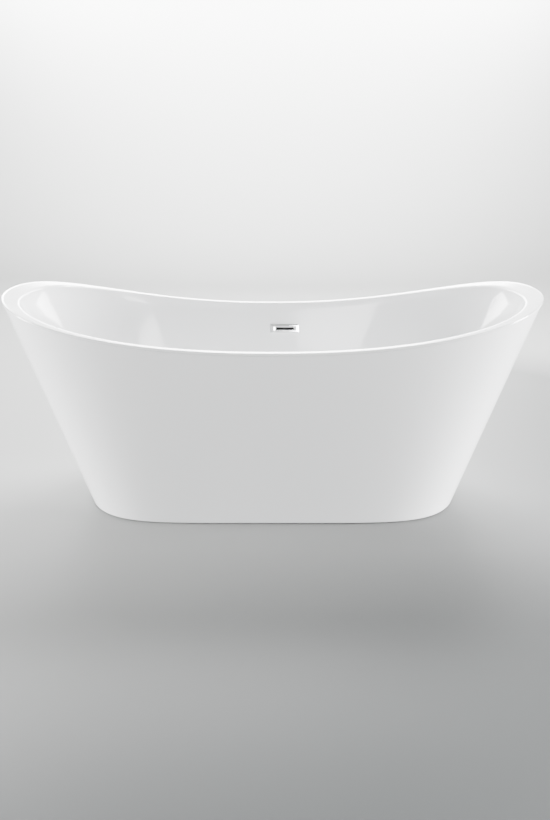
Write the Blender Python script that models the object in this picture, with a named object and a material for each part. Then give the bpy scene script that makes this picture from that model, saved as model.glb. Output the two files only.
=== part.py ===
"""Freestanding double-slipper bathtub.

An acrylic basin hangs in an acrylic skirt on a steel frame with six levelling feet. It has a
press-to-close drain in its floor and a slotted overflow in its far long wall.
+X runs along the tub, +Y towards the overflow and +Z up. The origin is on the floor, under the
middle of the rim. All sizes are in metres.
"""

import math

import bmesh
import bpy
from mathutils import Matrix, Vector

# ---- fits -------------------------------------------------------------------
GAP = 0.0003                # between pieces that touch
RUNNING = 0.0005            # radial, round a piece that turns or slides
SEAM = 0.0008               # shadow line between the rim's lip and the skirt
PAST = 0.030                # how far a cutter reaches past what it cuts

# ---- rim --------------------------------------------------------------------
RIM_LENGTH = 1.700
RIM_WIDTH = 0.800
RIM_SQUARENESS = (4.8, 2.3)
RIM_HEIGHT_MIDDLE = 0.590
RIM_HEIGHT_ENDS = 0.710
RIM_SADDLE_POWER = 2.2
RIM_LAND_SIDES = 0.028
RIM_LAND_ENDS = 0.054
RIM_ROLL = 0.009
RIM_LIP = 0.008

# ---- basin ------------------------------------------------------------------
BASIN_WALL = 0.006
BASIN_FLOOR = 0.145         # height of the bathing surface over the ground
WALL_RUN_SIDES = 0.157      # how far the wall leans in on its way down
WALL_RUN_ENDS = 0.236
FOOT_SQUARENESS = (3.6, 2.3)
FILLET_RUN = 0.060          # from the sharp foot of the wall to the flat floor
FILLET_SHARE = 0.5          # share of the wall that curves into the floor

# ---- skirt ------------------------------------------------------------------
SKIRT_WALL = 0.005
SKIRT_SETBACK = 0.002
SKIRT_CLEARANCE = 0.003     # over the ground
SKIRT_ROLL = 0.006
SKIRT_FLANGE = 0.026
BASE_INSET_SIDES = 0.105    # how far the skirt's foot stands in from the rim
BASE_INSET_ENDS = 0.214
BASE_SQUARENESS = (5.8, 2.0)

# ---- frame ------------------------------------------------------------------
BOARD_THICKNESS = 0.012
BOARD_HOLE = 0.042          # radius, round the drain
BOARD_MARGIN = 0.012        # inside the basin's flat floor
TUBE = 0.025
TUBE_WALL = 0.002
RAIL_MARGIN = 0.013         # from the board's long edge to the rail
CROSS_MARGIN = 0.028        # from the board's end to the outer cross members and feet
CROSS_SHARE = 0.48          # place of the inner cross members, as a share of the outer ones'

# ---- levelling feet ---------------------------------------------------------
FOOT_REACH = 0.055          # from a rail's middle to a stud
BRACKET_WIDTH = 0.044
BRACKET_THICKNESS = 0.004
STUD = 0.0058               # radius
STUD_MARGIN = 0.0084        # from the rail's top down to the stud's end
SPANNER_FLATS = 0.017
SPANNER_HEIGHT = 0.008
SPANNER_PLACE = 0.018       # lower face over the ground
NUT_FLATS = 0.019
NUT_HEIGHT = 0.010
PAD = 0.022                 # radius
PAD_HEIGHT = 0.012
PAD_NECK = 0.011            # radius of its top
PAD_SHOULDER = 0.0054       # height where its flank starts to lean in
PAD_CHAMFER = 0.0013
PAD_SOCKET_FLOOR = 0.005

# ---- straps between the frame and the skirt's flange -------------------------
STRAP_SHARE = 0.65          # place along X, as a share of the outer feet's
STRAP_WIDTH = 0.030
STRAP_THICKNESS = 0.003
STRAP_TOE = 0.014

# ---- drain ------------------------------------------------------------------
DRAIN_PLACE = 0.045         # along X
DRAIN_BORE = 0.0175         # radius of the waterway
DRAIN_WALL = 0.0025
DRAIN_TAIL = 0.045          # length under the bathing surface
FLANGE_LIP = 0.0155         # how far the flange reaches past its tail
FLANGE_THICKNESS = 0.003
FLANGE_EDGE = 0.0012        # height of its rim
FLANGE_CROWN = 0.8          # share of the lip where its top turns flat
CROSS_BAR = 0.004
CROSS_BAR_HEIGHT = 0.008
CROSS_BAR_DEPTH = 0.019     # its top under the bathing surface
GASKET_THICKNESS = 0.003
TEE_WALL = 0.004
TEE_COLLAR = 0.008          # how far its collar reaches past its body
TEE_COLLAR_HEIGHT = 0.0055
TEE_HEIGHT = 0.085
BRANCH_DROP = 0.0604        # from the tee's top to the branch's middle
BRANCH_REACH = 0.062
TAILPIECE_WALL = 0.0015
TAILPIECE_FOOT = 0.014      # over the ground
TAILPIECE_OVERLAP = 0.015
SLIP_NUT_WALL = 0.0045
SLIP_NUT_HEIGHT = 0.020
SLIP_NUT_FLOOR = 0.006

# ---- stopper ----------------------------------------------------------------
STOPPER = 0.030             # radius of the cap
STOPPER_THICKNESS = 0.004
STOPPER_BEVEL = 0.0012
STOPPER_DOME = 0.0015
DOME_RINGS = (0.6, 0.2)     # radii of the dome's rings, as shares of the cap's
STOPPER_TRAVEL = 0.008
SEAL_THICKNESS = 0.002
SEAL_INSIDE = 0.020
SEAL_OUTSIDE = 0.027
STEM = 0.0026               # radius
STEM_CLIP = 0.0046
STEM_CLIP_HEIGHT = 0.003
SLEEVE_WALL = 0.001
SPRING_WIRE = 0.0005        # radius
SPRING_COILS = 5

# ---- overflow ---------------------------------------------------------------
OVERFLOW_DROP = 0.094       # from the rim's middle height to the slot
COVER_LENGTH = 0.111
COVER_HEIGHT = 0.031
COVER_THICKNESS = 0.005
COVER_BEVEL = 0.0012
SLOT_LENGTH = 0.071
SLOT_HEIGHT = 0.0094
WALL_SLOT_LENGTH = 0.078
WALL_SLOT_HEIGHT = 0.016
OVERFLOW_SEAL = 0.002
HOUSING_HEIGHT = 0.030
HOUSING_DEPTH = 0.0175
HOUSING_WALL = 0.002
SCREW = 0.0022              # radius
SCREW_SHARE = 0.6           # how deep it goes into the housing, as a share of the housing's depth
SCREW_INSET = 0.0085        # from the cover's end
SPIGOT_REACH = 0.018
HOSE_BORE = 0.0076          # radius
HOSE_WALL = 0.0020
HOSE_LAP = 0.015            # length of hose over each spigot
HOSE_POINTS = 16
HOSE_BEND = 0.46            # how far its bends reach, as a share of the straight distance
CLAMP_WALL = 0.0012
CLAMP_WIDTH = 0.009

# ---- fineness ---------------------------------------------------------------
SEGMENTS = 60               # round the tub
ROUND = 18                  # round a turned piece, and a multiple of a hexagon's sides
FINE_ROUND = 30             # round a larger turned piece
HOSE_ROUND = 12
FILLET_STEPS = 4
SKIRT_STEPS = 3

for stale in list(bpy.data.objects):
    bpy.data.objects.remove(stale, do_unlink=True)


# ---- materials --------------------------------------------------------------
def finish(name, colour, roughness, metallic=0.0):
    material = bpy.data.materials.new(name)
    material.use_nodes = True
    shader = material.node_tree.nodes["Principled BSDF"]
    shader.inputs["Base Color"].default_value = (*colour, 1.0)
    shader.inputs["Roughness"].default_value = roughness
    shader.inputs["Metallic"].default_value = metallic
    material.diffuse_color = (*colour, 1.0)
    return material


ACRYLIC = finish("white_acrylic", (0.88, 0.88, 0.89), 0.08)
CHROME = finish("chrome", (0.82, 0.83, 0.85), 0.08, 1.0)
BRASS = finish("brass", (0.78, 0.60, 0.32), 0.30, 1.0)
SPRING_STEEL = finish("spring_steel", (0.60, 0.61, 0.63), 0.25, 1.0)
ZINC = finish("zinc_plated_steel", (0.62, 0.63, 0.62), 0.38, 1.0)
FRAME_PAINT = finish("painted_frame_steel", (0.20, 0.21, 0.22), 0.50)
PLYWOOD = finish("plywood", (0.62, 0.46, 0.28), 0.75)
RUBBER = finish("black_rubber", (0.04, 0.04, 0.04), 0.80)
PAD_PLASTIC = finish("pad_plastic", (0.08, 0.08, 0.08), 0.55)
WASTE_PLASTIC = finish("waste_plastic", (0.72, 0.73, 0.72), 0.40)


# ---- mesh helpers -----------------------------------------------------------
def skin(rings, joined=False, floor=False, capped=False):
    """Points and faces over rings that have the same number of points."""
    count = len(rings[0])
    points = [point for ring in rings for point in ring]
    steps = [(k, k + 1) for k in range(len(rings) - 1)]
    if joined:
        steps.append((len(rings) - 1, 0))
    faces = []
    for near, far in steps:
        for j in range(count):
            beside = (j + 1) % count
            faces.append((near * count + j, far * count + j, far * count + beside, near * count + beside))
    if floor or capped:
        faces.append(tuple(range(count)))
    if capped:
        faces.append(tuple(reversed(range(len(points) - count, len(points)))))
    return points, faces


def piece(name, shape, material, at=(0, 0, 0), parent=None, closed=True, helper=False):
    """An object from points and faces, placed at a point of its parent's frame."""
    points, faces = shape
    mesh = bpy.data.meshes.new(name)
    mesh.from_pydata([tuple(point) for point in points], [], faces)
    if closed:
        surface = bmesh.new()
        surface.from_mesh(mesh)
        bmesh.ops.recalc_face_normals(surface, faces=surface.faces)
        surface.to_mesh(mesh)
        surface.free()
    mesh.update()
    body = bpy.data.objects.new(name, mesh)
    bpy.context.collection.objects.link(body)
    body.location = at
    body.parent = parent
    if helper:
        body.hide_render = True
        body.display_type = "WIRE"
    else:
        mesh.materials.append(material)
        mesh.shade_smooth()
        mesh.set_sharp_from_angle(angle=math.radians(35))
    return body


def boolean(body, operation, helper):
    modifier = body.modifiers.new(f"{operation.lower()}_{helper.name}", "BOOLEAN")
    modifier.operation = operation
    modifier.solver = "EXACT"
    modifier.object = helper


def thicken(body, thickness):
    modifier = body.modifiers.new("wall", "SOLIDIFY")
    modifier.thickness = thickness
    modifier.offset = -1.0
    modifier.use_even_offset = True


def circle(radius, height, steps=ROUND):
    turns = [2 * math.pi * j / steps for j in range(steps)]
    return [Vector((radius * math.cos(turn), radius * math.sin(turn), height)) for turn in turns]


def hexagon(flats, height, steps=ROUND):
    """A hexagon with the same number of points as a circle, so that the two join."""
    ring = []
    for j in range(steps):
        turn = 2 * math.pi * j / steps
        off_flat = (turn % (math.pi / 3)) - math.pi / 6
        reach = flats / 2 / math.cos(off_flat)
        ring.append(Vector((reach * math.cos(turn), reach * math.sin(turn), height)))
    return ring


def turned(profile, steps=ROUND, hollow=False):
    """A turned piece from (radius, height) pairs: a ring where it is hollow, else a solid."""
    rings = [circle(radius, height, steps) for radius, height in profile]
    return skin(rings, joined=hollow, capped=not hollow)


def tube_profile(bore, outside, low, high):
    return [(bore, low), (outside, low), (outside, high), (bore, high)]


def block(low, high):
    """A box between two corners."""
    corners = [[Vector((x, y, z)) for x, y in ((low[0], low[1]), (high[0], low[1]),
                                              (high[0], high[1]), (low[0], high[1]))]
               for z in (low[2], high[2])]
    return skin(corners, capped=True)


def swept(route, radius):
    """Rings of one radius along a route that lies in a plane across X."""
    across = Vector((1, 0, 0))
    turns = [2 * math.pi * j / HOSE_ROUND for j in range(HOSE_ROUND)]
    rings = []
    for k, point in enumerate(route):
        ahead = route[min(k + 1, len(route) - 1)] - route[max(k - 1, 0)]
        side = ahead.normalized().cross(across)
        rings.append([point + radius * (math.cos(turn) * across + math.sin(turn) * side) for turn in turns])
    return rings


def hose(route, bore, outside):
    """A pipe along a route, open at both ends."""
    return skin(swept(route, outside) + swept(route, bore)[::-1], joined=True)


def curve_points(start, start_handle, end_handle, end, steps):
    """Points of a cubic curve."""
    points = []
    for k in range(steps + 1):
        t = k / steps
        points.append(start * (1 - t) ** 3 + start_handle * 3 * t * (1 - t) ** 2
                      + end_handle * 3 * t * t * (1 - t) + end * t ** 3)
    return points


def rounded(start, corner, end, t):
    """A point of the parabola that rounds off the corner between two points."""
    return start * (1 - t) ** 2 + corner * 2 * t * (1 - t) + end * t * t


# ---- outlines of the tub ----------------------------------------------------
TURNS = [2 * math.pi * k / SEGMENTS for k in range(SEGMENTS)]


def outline(turn, half_length, half_width, squareness):
    """A point of |x/a|^p + |y/b|^q = 1, with turn 0 at +X and a quarter turn at +Y."""
    power_x, power_y = squareness
    across = math.cos(turn)
    y = max(0.0, 1 - abs(across) ** power_x) ** (1 / power_y)
    return half_length * across, math.copysign(half_width * y, math.sin(turn))


def rim_height(x):
    rise = RIM_HEIGHT_ENDS - RIM_HEIGHT_MIDDLE
    return RIM_HEIGHT_MIDDLE + rise * abs(x / (RIM_LENGTH / 2)) ** RIM_SADDLE_POWER


def rim_edge(turn, inset_ends, inset_sides, drop=0.0):
    """A point in from the rim's outer edge, and down from its saddle."""
    x, y = outline(turn, RIM_LENGTH / 2 - inset_ends, RIM_WIDTH / 2 - inset_sides, RIM_SQUARENESS)
    return Vector((x, y, rim_height(x) - drop))


def wall_top(turn):
    return rim_edge(turn, RIM_LAND_ENDS, RIM_LAND_SIDES, RIM_ROLL)


def floor_line(turn, inset):
    """A point on the bathing surface, in from the sharp foot of the wall."""
    half_length = RIM_LENGTH / 2 - RIM_LAND_ENDS - WALL_RUN_ENDS - inset
    half_width = RIM_WIDTH / 2 - RIM_LAND_SIDES - WALL_RUN_SIDES - inset
    return Vector((*outline(turn, half_length, half_width, FOOT_SQUARENESS), BASIN_FLOOR))


def wall_foot(turn):
    return floor_line(turn, 0.0)


def base_line(turn, inset, height):
    """A point round the skirt's foot."""
    half_length = RIM_LENGTH / 2 - BASE_INSET_ENDS - inset
    half_width = RIM_WIDTH / 2 - BASE_INSET_SIDES - inset
    return Vector((*outline(turn, half_length, half_width, BASE_SQUARENESS), height))


def skirt_top(turn):
    return rim_edge(turn, SKIRT_SETBACK, SKIRT_SETBACK, RIM_LIP + SEAM)


def skirt_foot(turn):
    return base_line(turn, 0.0, SKIRT_CLEARANCE + SKIRT_ROLL)


def far_side(low_edge, high_edge, x, z):
    """The point at x and z on the +Y side of a wall that is straight between two edges."""
    low_turn, high_turn = 0.0, math.pi
    for _ in range(50):
        turn = (low_turn + high_turn) / 2
        foot, head = low_edge(turn), high_edge(turn)
        point = foot.lerp(head, (z - foot.z) / (head.z - foot.z))
        if point.x > x:
            low_turn = turn
        else:
            high_turn = turn
    return point


# ---- basin and skirt --------------------------------------------------------
def make_basin():
    rings = [[floor_line(turn, FILLET_RUN) for turn in TURNS]]
    for k in range(1, FILLET_STEPS + 1):
        rings.append([rounded(floor_line(turn, FILLET_RUN), wall_foot(turn),
                              wall_foot(turn).lerp(wall_top(turn), FILLET_SHARE), k / FILLET_STEPS)
                      for turn in TURNS])
    for share in ((1 + FILLET_SHARE) / 2, 1.0):
        rings.append([wall_foot(turn).lerp(wall_top(turn), share) for turn in TURNS])
    for t in (1 / 3, 2 / 3, 1.0):
        rings.append([rounded(wall_top(turn), rim_edge(turn, RIM_LAND_ENDS, RIM_LAND_SIDES),
                              rim_edge(turn, RIM_LAND_ENDS - RIM_ROLL, RIM_LAND_SIDES - RIM_ROLL), t)
                      for turn in TURNS])
    for drop in (0.0, RIM_LIP):
        rings.append([rim_edge(turn, 0.0, 0.0, drop) for turn in TURNS])
    basin = piece("basin", skin(rings, floor=True), ACRYLIC, closed=False)
    thicken(basin, BASIN_WALL)
    return basin


def make_skirt():
    inner_top = [rim_edge(turn, SKIRT_SETBACK + SKIRT_WALL, SKIRT_SETBACK + SKIRT_WALL, RIM_LIP + SEAM)
                 for turn in TURNS]
    inner_foot = [base_line(turn, SKIRT_WALL, SKIRT_CLEARANCE + SKIRT_ROLL) for turn in TURNS]
    rings = [[skirt_top(turn).lerp(skirt_foot(turn), k / SKIRT_STEPS) for turn in TURNS]
             for k in range(SKIRT_STEPS + 1)]
    for t in (1 / 3, 2 / 3, 1.0):
        rings.append([rounded(skirt_foot(turn), base_line(turn, 0.0, SKIRT_CLEARANCE),
                              base_line(turn, SKIRT_ROLL, SKIRT_CLEARANCE), t) for turn in TURNS])
    rings.append([base_line(turn, SKIRT_FLANGE, SKIRT_CLEARANCE) for turn in TURNS])
    rings.append([base_line(turn, SKIRT_FLANGE, SKIRT_CLEARANCE + SKIRT_WALL) for turn in TURNS])
    rings.append([base_line(turn, SKIRT_ROLL, SKIRT_CLEARANCE + SKIRT_WALL) for turn in TURNS])
    for k in range(SKIRT_STEPS, -1, -1):
        rings.append([top.lerp(foot, k / SKIRT_STEPS) for top, foot in zip(inner_top, inner_foot)])
    piece("outer_skirt", skin(rings, joined=True), ACRYLIC)


# ---- frame ------------------------------------------------------------------
BOARD_TOP = BASIN_FLOOR - BASIN_WALL - GAP
RAIL_TOP = BOARD_TOP - BOARD_THICKNESS - GAP
RAIL_UNDERSIDE = RAIL_TOP - TUBE
BOARD_HALF_WIDTH = floor_line(math.pi / 2, FILLET_RUN + BOARD_MARGIN).y
BOARD_HALF_LENGTH = floor_line(0.0, FILLET_RUN + BOARD_MARGIN).x
RAIL_MIDDLE = BOARD_HALF_WIDTH - RAIL_MARGIN - TUBE / 2
END_PLACE = BOARD_HALF_LENGTH - CROSS_MARGIN
CROSS_PLACES = (-END_PLACE, -END_PLACE * CROSS_SHARE, END_PLACE * CROSS_SHARE, END_PLACE)
FOOT_PLACES = (-END_PLACE, 0.0, END_PLACE)
STRAP_PLACES = (-END_PLACE * STRAP_SHARE, END_PLACE * STRAP_SHARE)


def square_tube(length, along_x):
    """A square tube, open at both ends, about its own middle."""
    rings = []
    for half, end in ((TUBE / 2, -1), (TUBE / 2, 1), (TUBE / 2 - TUBE_WALL, 1), (TUBE / 2 - TUBE_WALL, -1)):
        reach = end * length / 2
        square = ((-half, -half), (half, -half), (half, half), (-half, half))
        rings.append([Vector((reach, a, b)) if along_x else Vector((a, reach, b)) for a, b in square])
    return skin(rings, joined=True)


def make_frame():
    board = piece("floor_board", block((-BOARD_HALF_LENGTH, -BOARD_HALF_WIDTH, -BOARD_THICKNESS),
                                       (BOARD_HALF_LENGTH, BOARD_HALF_WIDTH, 0)), PLYWOOD,
                  at=(0, 0, BOARD_TOP))
    around_drain = piece("board_hole_cutter", turned([(BOARD_HOLE, -PAST), (BOARD_HOLE, PAST)], FINE_ROUND),
                         None, at=(DRAIN_PLACE, 0, BOARD_TOP), helper=True)
    boolean(board, "DIFFERENCE", around_drain)
    middle = RAIL_TOP - TUBE / 2
    for side, name in ((-1, "front"), (1, "back")):
        piece(f"frame_rail_{name}", square_tube(2 * BOARD_HALF_LENGTH, True), FRAME_PAINT,
              at=(0, side * RAIL_MIDDLE, middle))
    cross_length = 2 * (RAIL_MIDDLE - TUBE / 2 - GAP)
    for number, place in enumerate(CROSS_PLACES, 1):
        piece(f"cross_member_{number}", square_tube(cross_length, False), FRAME_PAINT,
              at=(place, 0, middle))


def strap_outline(side, place):
    """The bent strip from under a rail to the skirt's flange, as (y, z) points round it."""
    flange_top = SKIRT_CLEARANCE + SKIRT_WALL + GAP
    toe = far_side(skirt_foot, skirt_top, place, flange_top + SKIRT_ROLL).y - 2 * SKIRT_WALL
    heel = toe - STRAP_TOE
    top = RAIL_UNDERSIDE - GAP
    near = RAIL_MIDDLE - TUBE / 2
    toe_top = flange_top + STRAP_THICKNESS
    edge = ((near, top), (heel, top), (heel, toe_top), (toe, toe_top),
            (toe, flange_top), (heel - STRAP_THICKNESS, flange_top),
            (heel - STRAP_THICKNESS, top - STRAP_THICKNESS), (near, top - STRAP_THICKNESS))
    return [(side * y, z) for y, z in edge]


def make_straps():
    for side, row in ((-1, "front"), (1, "back")):
        for place, end in zip(STRAP_PLACES, ("left", "right")):
            edge = strap_outline(side, place)
            sides = (-STRAP_WIDTH / 2, STRAP_WIDTH / 2)
            rings = [[Vector((reach, y, z)) for y, z in edge] for reach in sides]
            piece(f"skirt_strap_{row}_{end}", skin(rings, capped=True), ZINC, at=(place, 0, 0))


# ---- levelling feet ---------------------------------------------------------
def bracket_shape(side):
    """A plate under the rail that reaches out round the stud, which is at its origin."""
    inner = RAIL_MIDDLE - TUBE / 2 - (RAIL_MIDDLE + FOOT_REACH)
    near, far = sorted((side * inner, side * BRACKET_WIDTH / 2))
    return block((-BRACKET_WIDTH / 2, near, -BRACKET_THICKNESS), (BRACKET_WIDTH / 2, far, 0))


def make_foot(name, x, side):
    """One foot, about an empty on its stud's axis at the ground."""
    axis = bpy.data.objects.new(f"axis_{name}", None)
    bpy.context.collection.objects.link(axis)
    axis.location = (x, side * (RAIL_MIDDLE + FOOT_REACH), 0)
    clear = STUD + RUNNING
    bracket_top = RAIL_UNDERSIDE - GAP
    bracket = piece(f"foot_bracket_{name}", bracket_shape(side), FRAME_PAINT,
                    at=(0, 0, bracket_top), parent=axis)
    bore = piece(f"bracket_cutter_{name}", turned([(clear, -PAST), (clear, PAST)]), None,
                 at=(0, 0, bracket_top), parent=axis, helper=True)
    boolean(bracket, "DIFFERENCE", bore)
    nut = [circle(clear, 0), hexagon(NUT_FLATS, 0), hexagon(NUT_FLATS, NUT_HEIGHT), circle(clear, NUT_HEIGHT)]
    piece(f"foot_nut_{name}", skin(nut, joined=True), ZINC, at=(0, 0, bracket_top + GAP), parent=axis)
    stud_foot = PAD_SOCKET_FLOOR + GAP
    rings = [circle(STUD, stud_foot), circle(STUD, SPANNER_PLACE), hexagon(SPANNER_FLATS, SPANNER_PLACE),
             hexagon(SPANNER_FLATS, SPANNER_PLACE + SPANNER_HEIGHT),
             circle(STUD, SPANNER_PLACE + SPANNER_HEIGHT), circle(STUD, RAIL_TOP - STUD_MARGIN)]
    piece(f"foot_stud_{name}", skin(rings, capped=True), ZINC, parent=axis)
    pad = [(clear, PAD_SOCKET_FLOOR), (clear, PAD_HEIGHT), (PAD_NECK, PAD_HEIGHT), (PAD, PAD_SHOULDER),
           (PAD, PAD_CHAMFER), (PAD - PAD_CHAMFER, 0)]
    piece(f"foot_pad_{name}", turned(pad), PAD_PLASTIC, parent=axis)


def make_feet():
    for side, row in ((-1, "front"), (1, "back")):
        for place, end in zip(FOOT_PLACES, ("left", "middle", "right")):
            make_foot(f"{row}_{end}", place, side)


# ---- drain ------------------------------------------------------------------
DRAIN_OUTSIDE = DRAIN_BORE + DRAIN_WALL
FLANGE_TOP = GAP + FLANGE_THICKNESS
BAR_TOP = -CROSS_BAR_DEPTH
GASKET_TOP = -BASIN_WALL - GAP
TEE_TOP = GASKET_TOP - GASKET_THICKNESS - GAP
TEE_BORE = DRAIN_OUTSIDE + RUNNING
TEE_OUTSIDE = TEE_BORE + TEE_WALL
TEE_FOOT = TEE_TOP - TEE_HEIGHT
CAP_UNDERSIDE = FLANGE_TOP + GAP + SEAL_THICKNESS + GAP + STOPPER_TRAVEL


def make_drain(basin):
    """The waste, about an empty on its axis at the height of the bathing surface."""
    axis = bpy.data.objects.new("axis_drain", None)
    bpy.context.collection.objects.link(axis)
    axis.location = (DRAIN_PLACE, 0, BASIN_FLOOR)
    clear = DRAIN_OUTSIDE + RUNNING
    hole = piece("drain_hole_cutter", turned([(clear, -PAST), (clear, PAST)], FINE_ROUND), None,
                 parent=axis, helper=True)
    boolean(basin, "DIFFERENCE", hole)

    flange = [(DRAIN_BORE, -DRAIN_TAIL), (DRAIN_OUTSIDE, -DRAIN_TAIL), (DRAIN_OUTSIDE, GAP),
              (DRAIN_OUTSIDE + FLANGE_LIP, GAP), (DRAIN_OUTSIDE + FLANGE_LIP, GAP + FLANGE_EDGE),
              (DRAIN_OUTSIDE + FLANGE_LIP * FLANGE_CROWN, FLANGE_TOP), (DRAIN_BORE, FLANGE_TOP)]
    body = piece("drain_flange", turned(flange, FINE_ROUND, hollow=True), CHROME, parent=axis)
    reach = DRAIN_BORE + DRAIN_WALL / 2
    low = BAR_TOP - CROSS_BAR_HEIGHT
    along = piece("bar_along", block((-reach, -CROSS_BAR / 2, low), (reach, CROSS_BAR / 2, BAR_TOP)), None,
                  parent=axis, helper=True)
    across = piece("bar_across", block((-CROSS_BAR / 2, -reach, low), (CROSS_BAR / 2, reach, BAR_TOP)), None,
                   parent=axis, helper=True)
    sleeve_inside = STEM_CLIP + SLEEVE_WALL / 2
    sleeve_outside = sleeve_inside + SLEEVE_WALL
    hub = piece("bar_hub", turned([(sleeve_outside, low), (sleeve_outside, BAR_TOP)]), None,
                parent=axis, helper=True)
    eye = piece("bar_eye_cutter", turned([(STEM + RUNNING, -DRAIN_TAIL), (STEM + RUNNING, DRAIN_TAIL)]), None,
                parent=axis, helper=True)
    for helper in (along, across, hub):
        boolean(body, "UNION", helper)
    boolean(body, "DIFFERENCE", eye)

    gasket = tube_profile(TEE_BORE, TEE_OUTSIDE + TEE_COLLAR, GASKET_TOP - GASKET_THICKNESS, GASKET_TOP)
    piece("drain_gasket", turned(gasket, FINE_ROUND, hollow=True), RUBBER, parent=axis)

    sleeve = tube_profile(sleeve_inside, sleeve_outside, BAR_TOP + GAP, FLANGE_TOP)
    piece("stopper_sleeve", turned(sleeve, hollow=True), BRASS, parent=axis)
    make_tee(axis)
    make_tailpiece(axis)
    make_stopper(axis)
    return axis


def make_tee(axis):
    profile = [(TEE_BORE, TEE_FOOT), (TEE_OUTSIDE, TEE_FOOT), (TEE_OUTSIDE, TEE_TOP - TEE_COLLAR_HEIGHT),
               (TEE_OUTSIDE + TEE_COLLAR, TEE_TOP - TEE_COLLAR_HEIGHT), (TEE_OUTSIDE + TEE_COLLAR, TEE_TOP),
               (TEE_BORE, TEE_TOP)]
    tee = piece("waste_tee", turned(profile, FINE_ROUND, hollow=True), WASTE_PLASTIC, parent=axis)
    height = TEE_TOP - BRANCH_DROP
    spigot = HOSE_BORE - RUNNING
    start = Vector((0, TEE_BORE + TEE_WALL / 2, height))
    route = [start, Vector((0, BRANCH_REACH, height))]
    branch = piece("branch_pipe", skin(swept(route, spigot), capped=True), None, parent=axis, helper=True)
    inside = [Vector((0, 0, height)), Vector((0, BRANCH_REACH + PAST, height))]
    bore = piece("branch_bore_cutter", skin(swept(inside, spigot - TAILPIECE_WALL), capped=True), None,
                 parent=axis, helper=True)
    boolean(tee, "UNION", branch)
    boolean(tee, "DIFFERENCE", bore)


def make_tailpiece(axis):
    bore = DRAIN_BORE
    outside = bore + TAILPIECE_WALL
    foot = TAILPIECE_FOOT - BASIN_FLOOR
    piece("tailpiece", turned(tube_profile(bore, outside, foot, TEE_FOOT + TAILPIECE_OVERLAP),
                              FINE_ROUND, hollow=True), BRASS, parent=axis)
    floor_low = TEE_FOOT - GAP - SLIP_NUT_FLOOR
    nut_bore = TEE_OUTSIDE + GAP
    nut_outside = nut_bore + SLIP_NUT_WALL
    nut_top = floor_low + SLIP_NUT_HEIGHT
    profile = [(outside + GAP, floor_low), (nut_outside, floor_low), (nut_outside, nut_top),
               (nut_bore, nut_top), (nut_bore, TEE_FOOT - GAP), (outside + GAP, TEE_FOOT - GAP)]
    piece("slip_nut", turned(profile, FINE_ROUND, hollow=True), WASTE_PLASTIC, parent=axis)


def make_stopper(axis):
    """The cap on its stem, raised off the flange by its travel."""
    top = CAP_UNDERSIDE + STOPPER_THICKNESS
    cap = [(STOPPER - STOPPER_BEVEL, CAP_UNDERSIDE), (STOPPER, CAP_UNDERSIDE + STOPPER_BEVEL),
           (STOPPER, top - STOPPER_BEVEL), (STOPPER - STOPPER_BEVEL, top)]
    cap += [(STOPPER * share, top + STOPPER_DOME * (1 - share ** 2)) for share in DOME_RINGS]
    piece("stopper_cap", turned(cap, FINE_ROUND), CHROME, parent=axis)
    seal_low = CAP_UNDERSIDE - GAP - SEAL_THICKNESS
    seal = tube_profile(SEAL_INSIDE, SEAL_OUTSIDE, seal_low, CAP_UNDERSIDE - GAP)
    piece("stopper_seal", turned(seal, FINE_ROUND, hollow=True), RUBBER, parent=axis)
    clip_top = BAR_TOP - CROSS_BAR_HEIGHT - GAP
    stem = [(STEM_CLIP, clip_top - STEM_CLIP_HEIGHT), (STEM_CLIP, clip_top), (STEM, clip_top),
            (STEM, CAP_UNDERSIDE - GAP)]
    piece("stopper_stem", turned(stem), BRASS, parent=axis)
    make_spring(axis)


def make_spring(axis):
    """The coil that holds the cap up, between the cross bar and the cap."""
    mean = (STEM + STEM_CLIP + SPRING_WIRE) / 2
    low = BAR_TOP + GAP + SPRING_WIRE
    high = CAP_UNDERSIDE - GAP - SPRING_WIRE
    steps = 12 * SPRING_COILS
    curve = bpy.data.curves.new("stopper_spring", "CURVE")
    curve.dimensions = "3D"
    curve.bevel_depth = SPRING_WIRE
    curve.bevel_resolution = 1
    curve.use_fill_caps = True
    line = curve.splines.new("POLY")
    line.points.add(steps)
    for k, point in enumerate(line.points):
        turn = 2 * math.pi * SPRING_COILS * k / steps
        point.co = (mean * math.cos(turn), mean * math.sin(turn), low + (high - low) * k / steps, 1)
    curve.materials.append(SPRING_STEEL)
    spring = bpy.data.objects.new("stopper_spring", curve)
    bpy.context.collection.objects.link(spring)
    spring.parent = axis


# ---- overflow ---------------------------------------------------------------
def stadium(length, height, depth, steps=8):
    """Points round a slot with round ends, in the plane y = depth."""
    radius = height / 2
    ring = []
    for side in (1, -1):
        for k in range(steps + 1):
            turn = side * math.pi / 2 - math.pi * k / steps
            ring.append(Vector((side * (length / 2 - radius) + radius * math.cos(turn), depth,
                                radius * math.sin(turn))))
    return ring


def slot_cutter(name, length, height, seat):
    """A bar across the wall, which cuts a slot with round ends."""
    rings = [stadium(length, height, depth) for depth in (-PAST, PAST)]
    return piece(name, skin(rings, capped=True), None, parent=seat, helper=True)


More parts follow.
